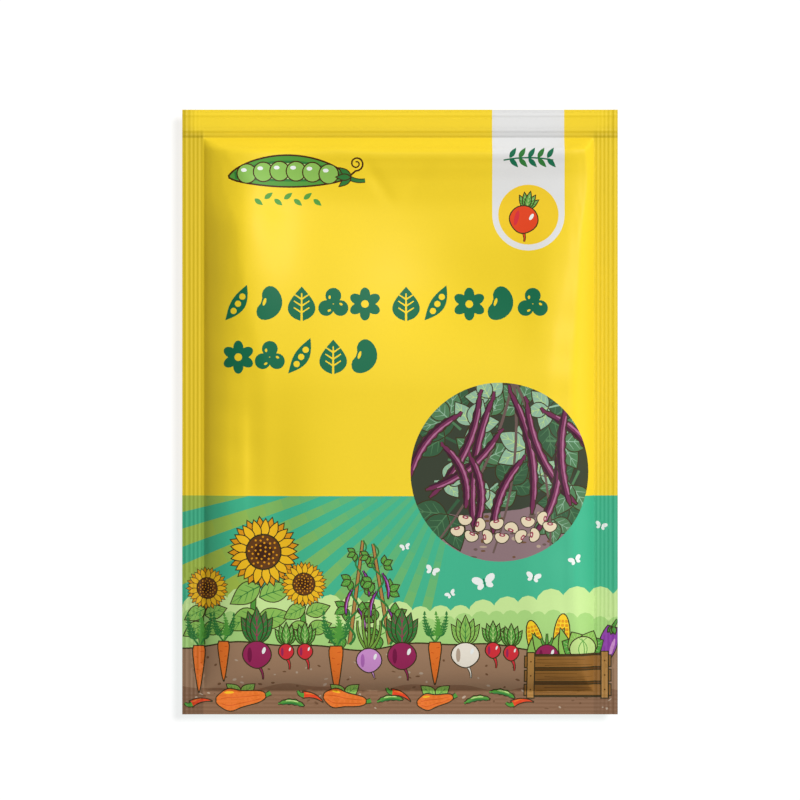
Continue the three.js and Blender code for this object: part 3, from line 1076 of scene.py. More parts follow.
@dataclass(frozen=True)
class Roundel:
    """A round picture of ripe purple pods among bean leaves, with a few shelled peas."""

    centre: Pair = (29.6, -17.8)
    radius: float = 26.5
    clods: int = 60
    shelled_peas: int = 13
    seed: int = 7

    def draw(self) -> Artwork:
        """Returns the picture, cut to its circle."""
        draw_from = random.Random(self.seed)
        art = Artwork()
        window = Outline.disc(2 * self.radius, 80)
        art.fill(window, Ink.THICKET)
        earth = [(-30, -9), (-12, -13), (6, -11), (30, -4), (30, -30), (-30, -30)]
        art.fill(Outline.through(earth), Ink.THICKET_EARTH)
        for _ in range(self.clods):
            spot = Outline.oval(draw_from.uniform(0.8, 2.6), draw_from.uniform(0.5, 1.4), 8)
            ink = draw_from.choice((Ink.THICKET_BROWN, Ink.STONE, Ink.SOIL_CRUMB))
            art.fill(spot.moved(draw_from.uniform(-25, 25), draw_from.uniform(-26, -12)), ink)
        self.add_leaves(art, draw_from)
        self.add_pods(art)
        for index in range(self.shelled_peas):
            x = -13 + 2.35 * index + draw_from.uniform(-0.6, 0.6)
            y = -19.5 + 3.4 * (index % 2) + draw_from.uniform(-0.7, 0.7) + 0.012 * x * x
            art.add(Garden.pea(4.3), x, y, draw_from.uniform(0, 360))
        return Artwork().add(art.clipped(window), *self.centre)

    def add_leaves(self, art: Artwork, draw_from: random.Random) -> None:
        """Prints the leaves in three layers, the dark ones behind and the lightest in front."""
        inks = (Ink.WOODLAND_DARK, Ink.WOODLAND, Ink.FROST_LEAF, Ink.LEAF_PALE)
        for layer, (ink, vein) in enumerate(zip(inks, inks[1:])):
            leaves = 11 - 2 * layer
            for index in range(leaves):
                turn = 360 * index / leaves + 25 * layer
                reach = self.radius * draw_from.uniform(0.35, 0.95)
                x = reach * cos(radians(turn)) + 2
                y = 0.8 * reach * sin(radians(turn)) + 5
                leaf = Garden.trefoil(draw_from.uniform(13, 19) - 2 * layer, ink, vein)
                art.add(leaf, x, y, draw_from.uniform(0, 360))

    @staticmethod
    def add_pods(art: Artwork) -> None:
        """Prints the stems, and the pods that hang from them and cross."""
        for end in ((-18, -20), (-2, -24), (15, -22)):
            art.stroke(arc((4, 28), end, 0.06), 0.9, 0.6, Ink.THICKET_BROWN)
        inks = (Ink.POD_PURPLE, Ink.POD_LILAC, Ink.POD_SHADE)
        for x, y, turn, length, bow in (
            (-6, 23, -116, 34, 0.1), (-2, 22, -98, 40, -0.07), (3, 24, -80, 37, 0.08),
            (8, 21, -64, 34, -0.1), (13, 18, -50, 30, 0.12), (-12, 17, -128, 24, -0.12),
            (17, 8, -104, 27, 0.1), (0, 12, -142, 28, 0.1), (-9, 5, -86, 22, 0.12),
            (7, 4, -112, 24, -0.1), (20, 20, -88, 30, -0.08), (-17, 8, -70, 20, 0.14),
        ):
            art.add(Garden.pod(length, 3.1, bow, inks, 9), x, y, turn)


@dataclass(frozen=True)
class GardenScene:
    """The lower third of the front: field rows under a teal sky, sunflowers, hedges and a bed cut open."""

    horizon: float = -24.9
    soil_level: float = -69.5
    seed: int = 11
    vanishing: Pair = (20.0, -9.0)
    rows: int = 11
    first_row_degrees: float = 190.5
    row_pitch_degrees: float = 6.4
    row_degrees: float = 3.3
    row_reach: float = 140.0
    rows_right: float = 14.0
    rows_bottom: float = -75.0
    fade_start: float = 85.0
    fade_step: float = 5.4
    crumbs: int = 110

    def draw(self, sizes: PacketSizes) -> Artwork:
        """Returns the scene, which fills the sheet from side to side."""
        draw_from = random.Random(self.seed)
        art = Artwork()
        art.fill(Outline.sheet(sizes, self.horizon), Ink.TEAL)
        self.add_rows(art, sizes)
        self.add_butterflies(art)
        for ink, level, low, high in ((Ink.HEDGE_PALE, -58.5, 3.2, 4.6), (Ink.HEDGE, -63.5, 2.2, 3.2)):
            art.fill(self.hedge(sizes, level, low, high, draw_from), ink)
        for x, height, lean in ((-15, 31, 4), (-3, 30, -5)):
            art.add(Garden.bean_pole(height, lean), x, self.soil_level + 0.5)
        for x, height, radius, lean in ((-59, 17, 6.4, 1.5), (-43, 28, 10.6, 2.5), (-27, 18.5, 6.8, -1.5)):
            art.add(Garden.sunflower_plant(height, radius, lean), x, self.soil_level)
        self.add_soil(art, sizes, draw_from)
        self.add_roots(art)
        self.add_crate(art)
        self.add_loose_crops(art)
        return art

    def add_rows(self, art: Artwork, sizes: PacketSizes) -> None:
        """Prints the field's rows, which run to a point over the horizon and fade towards it."""
        far_x, far_y = self.vanishing
        field = Outline.box(-sizes.half_width, self.rows_bottom, self.rows_right, self.horizon)
        inks = [ink for ink in Ink if ink.name.startswith("ROW_")]
        reaches = [self.row_reach]
        reaches += [self.fade_start - self.fade_step * step for step in range(1, len(inks))]
        rings = [Outline.disc(2 * reach, 90).moved(far_x, far_y) for reach in reaches]
        for index in range(self.rows):
            start = radians(self.first_row_degrees + self.row_pitch_degrees * index)
            corners = [(far_x, far_y)]
            for angle in (start, start + radians(self.row_degrees)):
                x = far_x + self.row_reach * cos(angle)
                corners.append((x, far_y + self.row_reach * sin(angle)))
            wedge = Outline.through(corners)
            for ring, ink in zip(rings, inks):
                art.add(Artwork().fill(wedge, ink).clipped(ring).clipped(field))

    @staticmethod
    def add_butterflies(art: Artwork) -> None:
        """Prints the white butterflies in the sky, right of the rows."""
        for x, y, span, turn in (
            (25.0, -50.5, 7.6, 14), (9.5, -47.0, 4.6, -20), (39.5, -49.0, 5.0, -12),
            (52.0, -44.0, 4.4, 22), (15.0, -54.0, 3.6, 30), (60.0, -34.0, 4.0, -16), (1.5, -40.0, 3.4, 12),
        ):
            art.add(Garden.butterfly(span), x, y, turn)

    @staticmethod
    def hedge(
        sizes: PacketSizes, level: float, low: float, high: float, draw_from: random.Random
    ) -> Outline:
        """Returns a hedge from side to side, with a scalloped top of seeded sizes."""
        corners = [(-sizes.half_width, -sizes.half_height)]
        x = -sizes.half_width
        steps = 6
        while x < sizes.half_width:
            radius = draw_from.uniform(low, high)
            base = level + 2.4 * sin(x / 15.0 + level)
            for step in range(steps + 1):
                angle = pi * (1 - step / steps)
                across = min(x + radius * (1 + cos(angle)), sizes.half_width)
                corners.append((across, base + radius * sin(angle)))
            x += 1.7 * radius
        corners.append((sizes.half_width, -sizes.half_height))
        return Outline.through(corners)

    def soil_top(self, x: float) -> float:
        """Returns the height of the soil's surface across the sheet."""
        return self.soil_level + 0.9 * sin(x / 9.0) + 0.5 * sin(x / 4.1 + 1)

    def add_soil(self, art: Artwork, sizes: PacketSizes, draw_from: random.Random) -> None:
        """Prints the cut soil, darker below, with crumbs and stones."""
        across = np.linspace(-sizes.half_width, sizes.half_width, 66)
        ends = [(sizes.half_width, -sizes.half_height), (-sizes.half_width, -sizes.half_height)]
        line = [(x, self.soil_top(x) + 0.3) for x in across]
        art.fill(Outline.through([*line, *ends]), Ink.LINE)
        art.fill(Outline.through([*[(x, y - 0.45) for x, y in line], *ends]), Ink.SOIL)
        deep = [(x, self.soil_top(1.4 * x) - 12.5) for x in across]
        art.fill(Outline.through([*deep, *ends]), Ink.SOIL_DEEP)
        for _ in range(self.crumbs):
            x = draw_from.uniform(-63, 63)
            y = draw_from.uniform(-88.5, self.soil_level - 2.5)
            ink = draw_from.choice((Ink.SOIL_CRUMB, Ink.SOIL_CRUMB, Ink.STONE))
            crumb = Outline.oval(draw_from.uniform(0.5, 1.5), draw_from.uniform(0.35, 0.8), 7)
            art.fill(crumb.turned(draw_from.uniform(-40, 40)).moved(x, y), ink)

    def add_roots(self, art: Artwork) -> None:
        """Prints the row of root vegetables, with their tops over the soil."""
        leaves = Garden.leafy_top(11, 0.9, Ink.LEAF_DARK, Ink.BEET)
        beet = Garden.bulb(8.6, 8.2, (Ink.BEET, Ink.BEET_SHADE), 3.4, leaves)
        leaves = Garden.leafy_top(7, 1.0, Ink.LEAF, Ink.LEAF_PALE)
        radish = Garden.bulb(4.6, 4.8, (Ink.RADISH, Ink.BEET), 3.0, leaves)
        leaves = Garden.tuft(5, 13, 3.4, Ink.STEM)
        onion = Garden.bulb(7.6, 7.4, (Ink.ONION, Ink.ONION_SHADE), 1.6, leaves)
        leaves = Garden.leafy_top(9, 1.0, Ink.LEAF_LIGHT, Ink.LEAF_DARK)
        turnip = Garden.bulb(8.4, 7.6, (Ink.ROOT_WHITE, Ink.STONE), 3.2, leaves)
        for x, plant in (
            (-60.0, Garden.carrot(14.0, 4.2)), (-52.5, Garden.carrot(12.0, 3.8)), (-42.5, beet),
            (-33.8, radish), (-28.2, radish), (-19.0, Garden.carrot(15.0, 4.6)), (-9.2, onion),
            (0.6, beet), (10.4, Garden.carrot(13.0, 4.2)), (19.4, turnip), (27.6, radish), (33.0, radish),
        ):
            art.add(plant, x, self.soil_top(x) + 0.6)

    @staticmethod
    def add_crate(art: Artwork) -> None:
        """Prints the crate of picked vegetables at the right."""
        x, floor, width, height = 50.0, -85.0, 26.0, 13.0
        rim = floor + height
        beet_top = Garden.tuft(3, 4, 1.6, Ink.LEAF)
        beet = Garden.bulb(7.0, 7.0, (Ink.BEET, Ink.BEET_SHADE), 0.6, beet_top)
        art.add(Garden.corn(13.5), x - 8.0, rim - 3.5, 14)
        art.add(Garden.corn(14.5), x - 2.6, rim - 3.0, -4)
        art.add(Garden.aubergine(11.0), x + 10.6, rim - 2.6, -16)
        art.add(Garden.cabbage(13.0), x + 4.4, rim + 1.6)
        art.add(beet, x - 6.4, rim + 3.0)
        art.add(Garden.crate(width, height), x, floor)

    @staticmethod
    def add_loose_crops(art: Artwork) -> None:
        """Prints the pods, squashes and chillies along the bottom of the soil."""
        pod = Garden.pod(7.4, 1.9, 0.12, (Ink.LEAF, Ink.LEAF_PALE, Ink.LEAF_DARK), 4)
        for x, y, turn in ((19.5, -86.8, 8), (27.0, -83.6, -14), (-6.5, -86.4, 4), (-36.0, -87.0, -6)):
            art.add(pod, x, y, turn)
        leaf = Garden.leaf(5.6, 3.6, Ink.LEAF_LIGHT, Ink.LEAF_DARK)
        for x, y, length, turn in (
            (-47.5, -85.6, 15.0, 6), (-16.5, -85.8, 13.0, -8), (10.5, -86.2, 11.0, 10),
        ):
            for leaf_turn in (40, 140):
                art.add(leaf, x, y + 1.0, leaf_turn)
            art.add(Garden.butternut(length), x, y, turn)
        chilli = Garden.chilli(6.4)
        for x, y, turn in ((-62.4, -87.2, 8), (-29.0, -84.4, -20), (-2.6, -83.6, -26), (33.5, -87.2, 6)):
            art.add(chilli, x, y, turn)


@dataclass(frozen=True)
class BackPanel:
    """The print of the back: the front's two fields, a pale panel with rules and a sowing calendar."""

    panel_width: float = 100.0
    panel_height: float = 128.0
    panel_corner: float = 5.0
    panel_y: float = 4.0
    rule_left: float = -44.0
    rule_height: float = 0.7
    rule_pitch: float = 3.6
    months: int = 12
    sown_months: tuple[int, ...] = (3, 4, 5, 6)
    month_size: float = 6.4
    month_pitch: float = 7.4
    picture_size: float = 18.0
    picture_pitch: float = 22.0
    picture_left: float = -33.0
    picture_y: float = -20.0
    list_top: float = -40.0
    list_pitch: float = 3.1

    def draw(self, sizes: PacketSizes) -> Artwork:
        """Returns the back's artwork, as it is seen with the packet turned over."""
        art = Artwork()
        art.fill(Outline.sheet(sizes, GardenScene.horizon), Ink.TEAL)
        panel = Outline.round_box(self.panel_width, self.panel_height, self.panel_corner)
        art.fill(panel.moved(0, self.panel_y), Ink.WHITE)
        art.add(Garden.open_pod(30, 8, 0.05, 6), -15, 58.5)
        for top, rules, last_right in ((48.0, 5, 12.0), (24.0, 4, 22.0)):
            for rule in range(rules):
                right = -self.rule_left if rule < rules - 1 else last_right
                self.add_rule(art, self.rule_left, right, top - self.rule_pitch * rule)
        for month in range(self.months):
            box = Outline.round_box(self.month_size, self.month_size, 0.8)
            ink = Ink.LEAF_LIGHT if month in self.sown_months else Ink.BADGE
            art.lined(box.moved(-40.7 + self.month_pitch * month, 1.5), ink, 0.3, Ink.DEEP_GREEN)
        self.add_pictures(art)
        for place in range(6):
            level = self.list_top - self.list_pitch * place
            art.fill(Outline.disc(3.0, 14).moved(-41.5, level), Ink.DEEP_GREEN)
            self.add_rule(art, -38.0, 20.0 + 3.0 * (place % 3), level)
        return art

    def add_rule(self, art: Artwork, left: float, right: float, level: float) -> None:
        """Prints one plain level rule."""
        half = self.rule_height / 2
        art.fill(Outline.box(left, level - half, right, level + half), Ink.RULE_GREY)

    def add_pictures(self, art: Artwork) -> None:
        """Prints four small pictures: a sown pea, a seedling, a plant and ripe pods."""
        middle, size = self.picture_y, self.picture_size
        pods = (Ink.PURPLE, Ink.ONION, Ink.BEET_SHADE)
        middles = [self.picture_left + self.picture_pitch * place for place in range(4)]
        for x in middles:
            art.lined(Outline.round_box(size, size, 2.0).moved(x, middle), Ink.BADGE, 0.3, Ink.DEEP_GREEN)
            art.fill(Outline.box(x - 8.4, middle - 8.4, x + 8.4, middle - 4.0), Ink.SOIL)
        for place, crop, aside, up, turn in (
            (0, Garden.pea(4.6), 0.0, -6.2, 0),
            (1, Garden.tuft(3, 5.0, 3.0, Ink.LEAF), 0.0, -4.2, 0),
            (2, Garden.leafy_top(9.0, 1.1, Ink.LEAF, Ink.LEAF_PALE), 0.0, -4.2, 0),
            (3, Garden.pod(12.0, 2.2, 0.08, pods, 5), -3.0, 7.0, -62),
            (3, Garden.pod(12.0, 2.2, -0.08, pods, 5), 2.0, 7.0, -82),
        ):
            art.add(crop, middles[place] + aside, middle + up, turn)


class SheetCut:
    """A flat sheet cut into triangles along the edges of its inks."""

    weld = 0.004

    def __init__(self, art: Artwork, ground: Ink) -> None:
        """Keeps the artwork and the ink under it."""
        self.art = art
        self.palette = list(Ink)
        self.ground = self.palette.index(ground)
        self.places = np.zeros((0, 2))
        self.triangles = np.zeros((0, 3), int)
        self.inks = np.zeros(0, int)

    def cut(self, points: Array, edges: Array) -> None:
        """Cuts the sheet along edges between points, and finds the topmost ink of each triangle."""
        flat = [Vector(point) for point in points]
        done = delaunay_2d_cdt(flat, edges.tolist(), [], 0, self.weld, False)
        self.places = np.array([tuple(place) for place in done[0]])
        self.triangles = np.array(done[2])
        middles = self.places[self.triangles].mean(axis=1)
        order = np.argsort(middles[:, 0])
        sorted_middles = middles[order]
        topmost = np.full(len(order), self.ground)
        for patch in self.art.patches:
            topmost[patch.outline.holds(sorted_middles)] = self.palette.index(patch.ink)
        self.inks = np.empty_like(topmost)
        self.inks[order] = topmost

    def cut_along_outlines(self, window: Outline) -> None:
        """Cuts the sheet along every outline, hidden ones too."""
        outlines = [window, *(patch.outline for patch in self.art.patches)]
        edges, count = [], 0
        for outline in outlines:
            ring = count + np.arange(len(outline.corners))
            edges.append(np.stack([ring, np.roll(ring, -1)], axis=1))
            count += len(ring)
        self.cut(np.concatenate([outline.corners for outline in outlines]), np.concatenate(edges))

    def ink_borders(self) -> Array:
        """Returns the two ends of each edge at which the ink changes."""
        sides = np.concatenate([self.triangles[:, ends] for ends in ([0, 1], [1, 2], [2, 0])])
        sides.sort(axis=1)
        inks = np.tile(self.inks, 3)
        order = np.lexsort((sides[:, 1], sides[:, 0]))
        sides, inks = sides[order], inks[order]
        shared = (sides[1:] == sides[:-1]).all(axis=1) & (inks[1:] != inks[:-1])
        return self.places[sides[:-1][shared]]

    def cut_along_lattice(self, columns: Array, rows: Array) -> None:
        """Cuts the sheet again, along its inks' visible edges, with points where a lattice crosses them."""
        points = [np.stack(np.meshgrid(columns, rows), axis=-1).reshape(-1, 2)]
        edges, count = [], len(points[0])
        for start, end in self.ink_borders():
            shares = [np.array((0.0, 1.0))]
            for axis, lines in ((0, columns), (1, rows)):
                low, high = sorted((start[axis], end[axis]))
                crossed = lines[np.searchsorted(lines, low, "right") : np.searchsorted(lines, high, "left")]
                if crossed.size:
                    shares.append((crossed - start[axis]) / (end[axis] - start[axis]))
            along = np.sort(np.concatenate(shares))
            points.append(start + np.outer(along, end - start))
            run = count + np.arange(len(along))
            edges.append(np.stack([run[:-1], run[1:]], axis=1))
            count += len(along)
        self.cut(np.concatenate(points), np.concatenate(edges))


@dataclass(frozen=True)
class Lattice:
    """The lines that a sheet is cut along: close on the seals, and wider between them."""

    seal_step: float
    widest: float
    growth: float = 1.22

    def lines(self, low: float, high: float, low_seal: float, high_seal: float) -> Array:
        """Places the lines from one edge of the sheet to the other.

        Args:
            low: The lower edge.
            high: The higher edge.
            low_seal: The width of the seal at the lower edge.
            high_seal: The width of the seal at the higher edge.

        Returns:
            The lines' places, rising.
        """
        runs = []
        for seal in (low_seal, high_seal):
            places = list(np.linspace(0.0, seal, round(seal / self.seal_step) + 1))
            step = self.seal_step
            while step < self.widest:
                step *= self.growth
                places.append(places[-1] + step)
            runs.append(np.array(places))
        start, end = low + runs[0][-1], high - runs[1][-1]
        middle = np.linspace(start, end, round((end - start) / self.widest) + 1)[1:-1]
        return np.concatenate([low + runs[0], middle, (high - runs[1])[::-1]])

    def cut(self, sizes: PacketSizes) -> tuple[Array, Array]:
        """Returns the lines across and up the sheet."""
        columns = self.lines(-sizes.half_width, sizes.half_width, sizes.left_seal, sizes.right_seal)
        rows = self.lines(-sizes.half_height, sizes.half_height, sizes.bottom_seal, sizes.top_seal)
        return columns, rows


def math_method(operation: str, swapped: bool = False) -> Callable[["Wire", Any], "Wire"]:
    """Makes an operator's method.

    Args:
        operation: What its Math node works out.
        swapped: True if the other side comes first.

    Returns:
        The method.
    """

    def method(wire: "Wire", other: Any) -> "Wire":
        """Returns the Math node's result."""
        sides = (other, wire) if swapped else (wire, other)
        node = wire.bench.node("ShaderNodeMath", {"operation": operation}, dict(enumerate(sides)))
        return Wire(wire.bench, node.outputs[0])

    return method


class Wire:
    """A shader socket in Python arithmetic: each operation adds its Math node."""

    __add__ = __radd__ = math_method("ADD")
    __mul__ = __rmul__ = math_method("MULTIPLY")
    __sub__ = math_method("SUBTRACT")
    __rsub__ = math_method("SUBTRACT", True)
    __truediv__ = math_method("DIVIDE")
    __pow__ = math_method("POWER")

    def __init__(self, bench: "NodeBench", socket: bpy.types.NodeSocket) -> None:
        """Keeps the socket and the bench that its node is on."""
        self.bench = bench
        self.socket = socket

    def eased(self, low: float, high: float) -> "Wire":
        """Returns a smooth step from 0 at low to 1 at high."""
        inputs = {"Value": self, "From Min": low, "From Max": high}
        node = self.bench.node("ShaderNodeMapRange", {"interpolation_type": "SMOOTHSTEP"}, inputs)
        return Wire(self.bench, node.outputs["Result"])


class NodeBench:
    """A material's nodes, with one method that adds any of them."""

    def __init__(self, name: str) -> None:
        """Makes an empty material with its output node."""
        self.material = bpy.data.materials.new(name)
        self.material.use_nodes = True
        self.tree = self.material.node_tree
        self.tree.nodes.clear()
        self.output = self.tree.nodes.new("ShaderNodeOutputMaterial")

    def node(self, kind: str, settings: dict | None = None, inputs: dict | None = None) -> bpy.types.Node:
        """Adds a node.

        Args:
            kind: The node's type.
            settings: Its settings by name, which are set first.
            inputs: A value, a wire or a socket for each named or numbered input.

        Returns:
            The node.
        """
        added = self.tree.nodes.new(kind)
        for name, value in (settings or {}).items():
            setattr(added, name, value)
        for name, value in (inputs or {}).items():
            source = value.socket if isinstance(value, Wire) else value
            if isinstance(source, bpy.types.NodeSocket):
                self.tree.links.new(source, added.inputs[name])
            else:
                added.inputs[name].default_value = source
        return added

    def place(self) -> bpy.types.NodeSocket:
        """Returns the Object coordinates."""
        return self.node("ShaderNodeTexCoord").outputs["Object"]

    def noise(self, scale: float, detail: float = 2.0, stretch: Vector | None = None) -> Wire:
        """Returns noise from 0 to 1 over the Object coordinates, drawn out along an axis by a stretch."""
        place = self.place()
        if stretch is not None:
            place = self.node("ShaderNodeMapping", None, {"Vector": place, "Scale": stretch}).outputs[0]
        inputs = {"Vector": place, "Scale": scale, "Detail": detail}
        return Wire(self, self.node("ShaderNodeTexNoise", None, inputs).outputs[0])

    def mixed(self, factor: Any, first: Any, second: Any, blend: str = "MIX") -> bpy.types.NodeSocket:
        """Returns a mix of two colours."""
        settings = {"data_type": "RGBA", "blend_type": blend}
        return self.node("ShaderNodeMix", settings, {0: factor, 6: first, 7: second}).outputs[2]

    def finish(self, inputs: dict) -> bpy.types.Material:
        """Links a Principled shader with these inputs to the output, and returns the material."""
        shader = self.node("ShaderNodeBsdfPrincipled", None, inputs)
        self.tree.links.new(shader.outputs[0], self.output.inputs["Surface"])
        return self.material


@dataclass(frozen=True)
class PrintedLaminate:
    """Satin laminate film, printed under its outer layer: its ink comes from the sheet's own attribute, with
    painted shade on its seals.
    """

    name: str
    sizes: PacketSizes
    light_share: float = 0.89
    # Painted shade: the side seals, the left one most, and a band along the top seal's inner edge are
    # darkened as if in the shade of the bulge.
    left_seal_shade: float = 0.76
    right_seal_shade: float = 0.87
    seam_shade: float = 0.77
    seam_width: float = 4.4
    edge_fade: float = 0.25
    corner_fade: float = 1.5
    mottle_scale: float = 1400.0
    mottle_tone: float = 0.04
    cloud_scale: float = 55.0
    cloud_tone: float = 0.03
    base_tone: float = 0.965
    scuff_scale: float = 260.0
    scuff_stretch: tuple[float, float, float] = (1.0, 0.12, 1.0)
    scuff_roughness: float = 0.1
    mottle_roughness: float = 0.08
    base_roughness: float = 0.5
    ripple_scale: float = 620.0
    ripple_strength: float = 0.1
    ripple_depth: float = 0.04
    gloss: float = 0.14
    coat: float = 0.02
    coat_roughness: float = 0.25

    def seal_shade(self, bench: NodeBench) -> Wire:
        """Returns the share of the ink's brightness left by painted shade: over both side seals, the left
        one deepest as if in the bulge's shade away from the key light, and in a band along the top seal's
        inner edge.
        """
        axes = bench.node("ShaderNodeSeparateXYZ", None, {"Vector": bench.place()}).outputs
        aside, height = Wire(bench, axes[0]), Wire(bench, axes[1])
        sizes = self.sizes
        half_width = sizes.half_width * MM
        top_start = (sizes.half_height - sizes.top_seal) * MM
        edge, fade = self.edge_fade * MM, self.corner_fade * MM
        into_top = height.eased(top_start, top_start + 2 * fade)
        on_seam = height.eased(top_start - edge, top_start + edge)
        on_seam = on_seam * (1 - height.eased(top_start, top_start + self.seam_width * MM))
        # Painted shade along the crease at the top seal's inner edge.
        tone = 1 - (1 - self.seam_shade) * on_seam
        for outward, seal, seal_shade in (
            (0 - aside, sizes.left_seal, self.left_seal_shade),
            (aside, sizes.right_seal, self.right_seal_shade),
        ):
            start = half_width - seal * MM
            whole = outward.eased(start - edge, start + edge)
            # Within the top seal, the side seal's painted shade keeps to a strip at the sheet's edge.
            corner_shade = outward.eased(start + fade, half_width)
            tone = tone * (1 - (1 - seal_shade) * (whole + (corner_shade - whole) * into_top))
        return tone

    def material(self) -> bpy.types.Material:
        """Returns the film's material."""
        bench = NodeBench(self.name)
        ink = bench.node("ShaderNodeAttribute", {"attribute_name": "print"}).outputs["Color"]
        mottle = bench.noise(self.mottle_scale, 2.0)
        cloud = bench.noise(self.cloud_scale, 1.0)
        clouded = self.base_tone + self.mottle_tone * mottle + self.cloud_tone * cloud
        # The ink is scaled down, mottled at random and darkened by the seals' painted shade.
        tone = self.light_share * clouded * self.seal_shade(bench)
        scuffs = bench.noise(self.scuff_scale, 3.0, Vector(self.scuff_stretch)).eased(0.66, 0.8)
        roughness = self.base_roughness + self.mottle_roughness * mottle + self.scuff_roughness * scuffs
        ripple = bench.noise(self.ripple_scale, 2.0)
        relief = {"Strength": self.ripple_strength, "Distance": self.ripple_depth * MM, "Height": ripple}
        bump = bench.node("ShaderNodeBump", None, relief)
        return bench.finish(
            {
                "Base Color": bench.mixed(1.0, ink, tone, "MULTIPLY"),
                "Roughness": roughness,
                "Normal": bump.outputs[0],
                "Specular IOR Level": self.gloss,
                "Coat Weight": self.coat,
                "Coat Roughness": self.coat_roughness,
            }
        )


@dataclass(frozen=True)
class PeaSkin:
    """The thin dry skin of a pinkeye pea: cream, with a dark pink eye round a white hilum."""

    cream: Colour = (0.78, 0.64, 0.43, 1.0)
    cream_dark: Colour = (0.62, 0.45, 0.26, 1.0)
    eye: Colour = (0.26, 0.04, 0.07, 1.0)
    hilum: Colour = (0.85, 0.8, 0.7, 1.0)
    eye_reach: Pair = (2.1, 1.25)
    hilum_reach: Pair = (1.0, 0.36)
    ragged: float = 0.5
    wrinkle_strength: float = 0.25
    wrinkle_depth: float = 0.1

    def material(self) -> bpy.types.Material:
        """Returns the skin's material, which reads each pea's own places in millimetres."""
        bench = NodeBench("pea_skin")
        local = bench.node("ShaderNodeAttribute", {"attribute_name": "pea_place"}).outputs["Vector"]
        axes = bench.node("ShaderNodeSeparateXYZ", None, {0: local}).outputs
        along, out, across = Wire(bench, axes[0]), Wire(bench, axes[1]), Wire(bench, axes[2])
        wobble = bench.noise(900.0, 3.0)
        facing = out.eased(0.4, 1.2)
        from_eye = (along / self.eye_reach[0]) ** 2.0 + (across / self.eye_reach[1]) ** 2.0
        from_hilum = (along / self.hilum_reach[0]) ** 2.0 + (across / self.hilum_reach[1]) ** 2.0
        eye_mask = facing * (1 - (from_eye + self.ragged * (wobble - 0.5)).eased(0.75, 1.1))
        hilum_mask = facing * (1 - from_hilum.eased(0.7, 1.1))
        skin = bench.mixed(bench.noise(420.0, 4.0).eased(0.35, 0.75), self.cream, self.cream_dark)
        eyed = bench.mixed(eye_mask, skin, self.eye)
        wrinkle = bench.noise(1500.0, 4.0)
        relief = {"Strength": self.wrinkle_strength, "Distance": self.wrinkle_depth * MM, "Height": wrinkle}
        bump = bench.node("ShaderNodeBump", None, relief)
        return bench.finish(
            {
                "Base Color": bench.mixed(hilum_mask, eyed, self.hilum),
                "Roughness": 0.42 + 0.14 * wobble,
                "Normal": bump.outputs[0],
            }
        )


@dataclass(frozen=True)
class StudioPaper:
    """The pale paper under the packet, which glows as on a light table, so that shadows stay faint."""

    tone: float = 0.22
    glow: float = 0.82

    def material(self) -> bpy.types.Material:
        """Returns the paper's material, whose light is mostly its own."""
        bench = NodeBench("studio_paper")
        grain = bench.noise(300.0, 3.0)
        return bench.finish(
            {
                "Base Color": (self.tone, self.tone, self.tone, 1.0),
                "Roughness": 0.85 + 0.08 * grain,
                "Emission Color": (1.0, 1.0, 1.0, 1.0),
                "Emission Strength": self.glow,
            }
        )


def make_piece(name: str, shape: bmesh.types.BMesh, finish: bpy.types.Material) -> bpy.types.Object:
    """Makes a linked object.

    Args:
        name: Its name, and its mesh's.
        shape: Its finished shape, which is freed.
        finish: Its material.

    Returns:
        The object, at the origin.
    """
    mesh = bpy.data.meshes.new(name)
    shape.to_mesh(mesh)
    shape.free()
    mesh.materials.append(finish)
    piece = bpy.data.objects.new(name, mesh)
    bpy.context.scene.collection.objects.link(piece)
    return piece


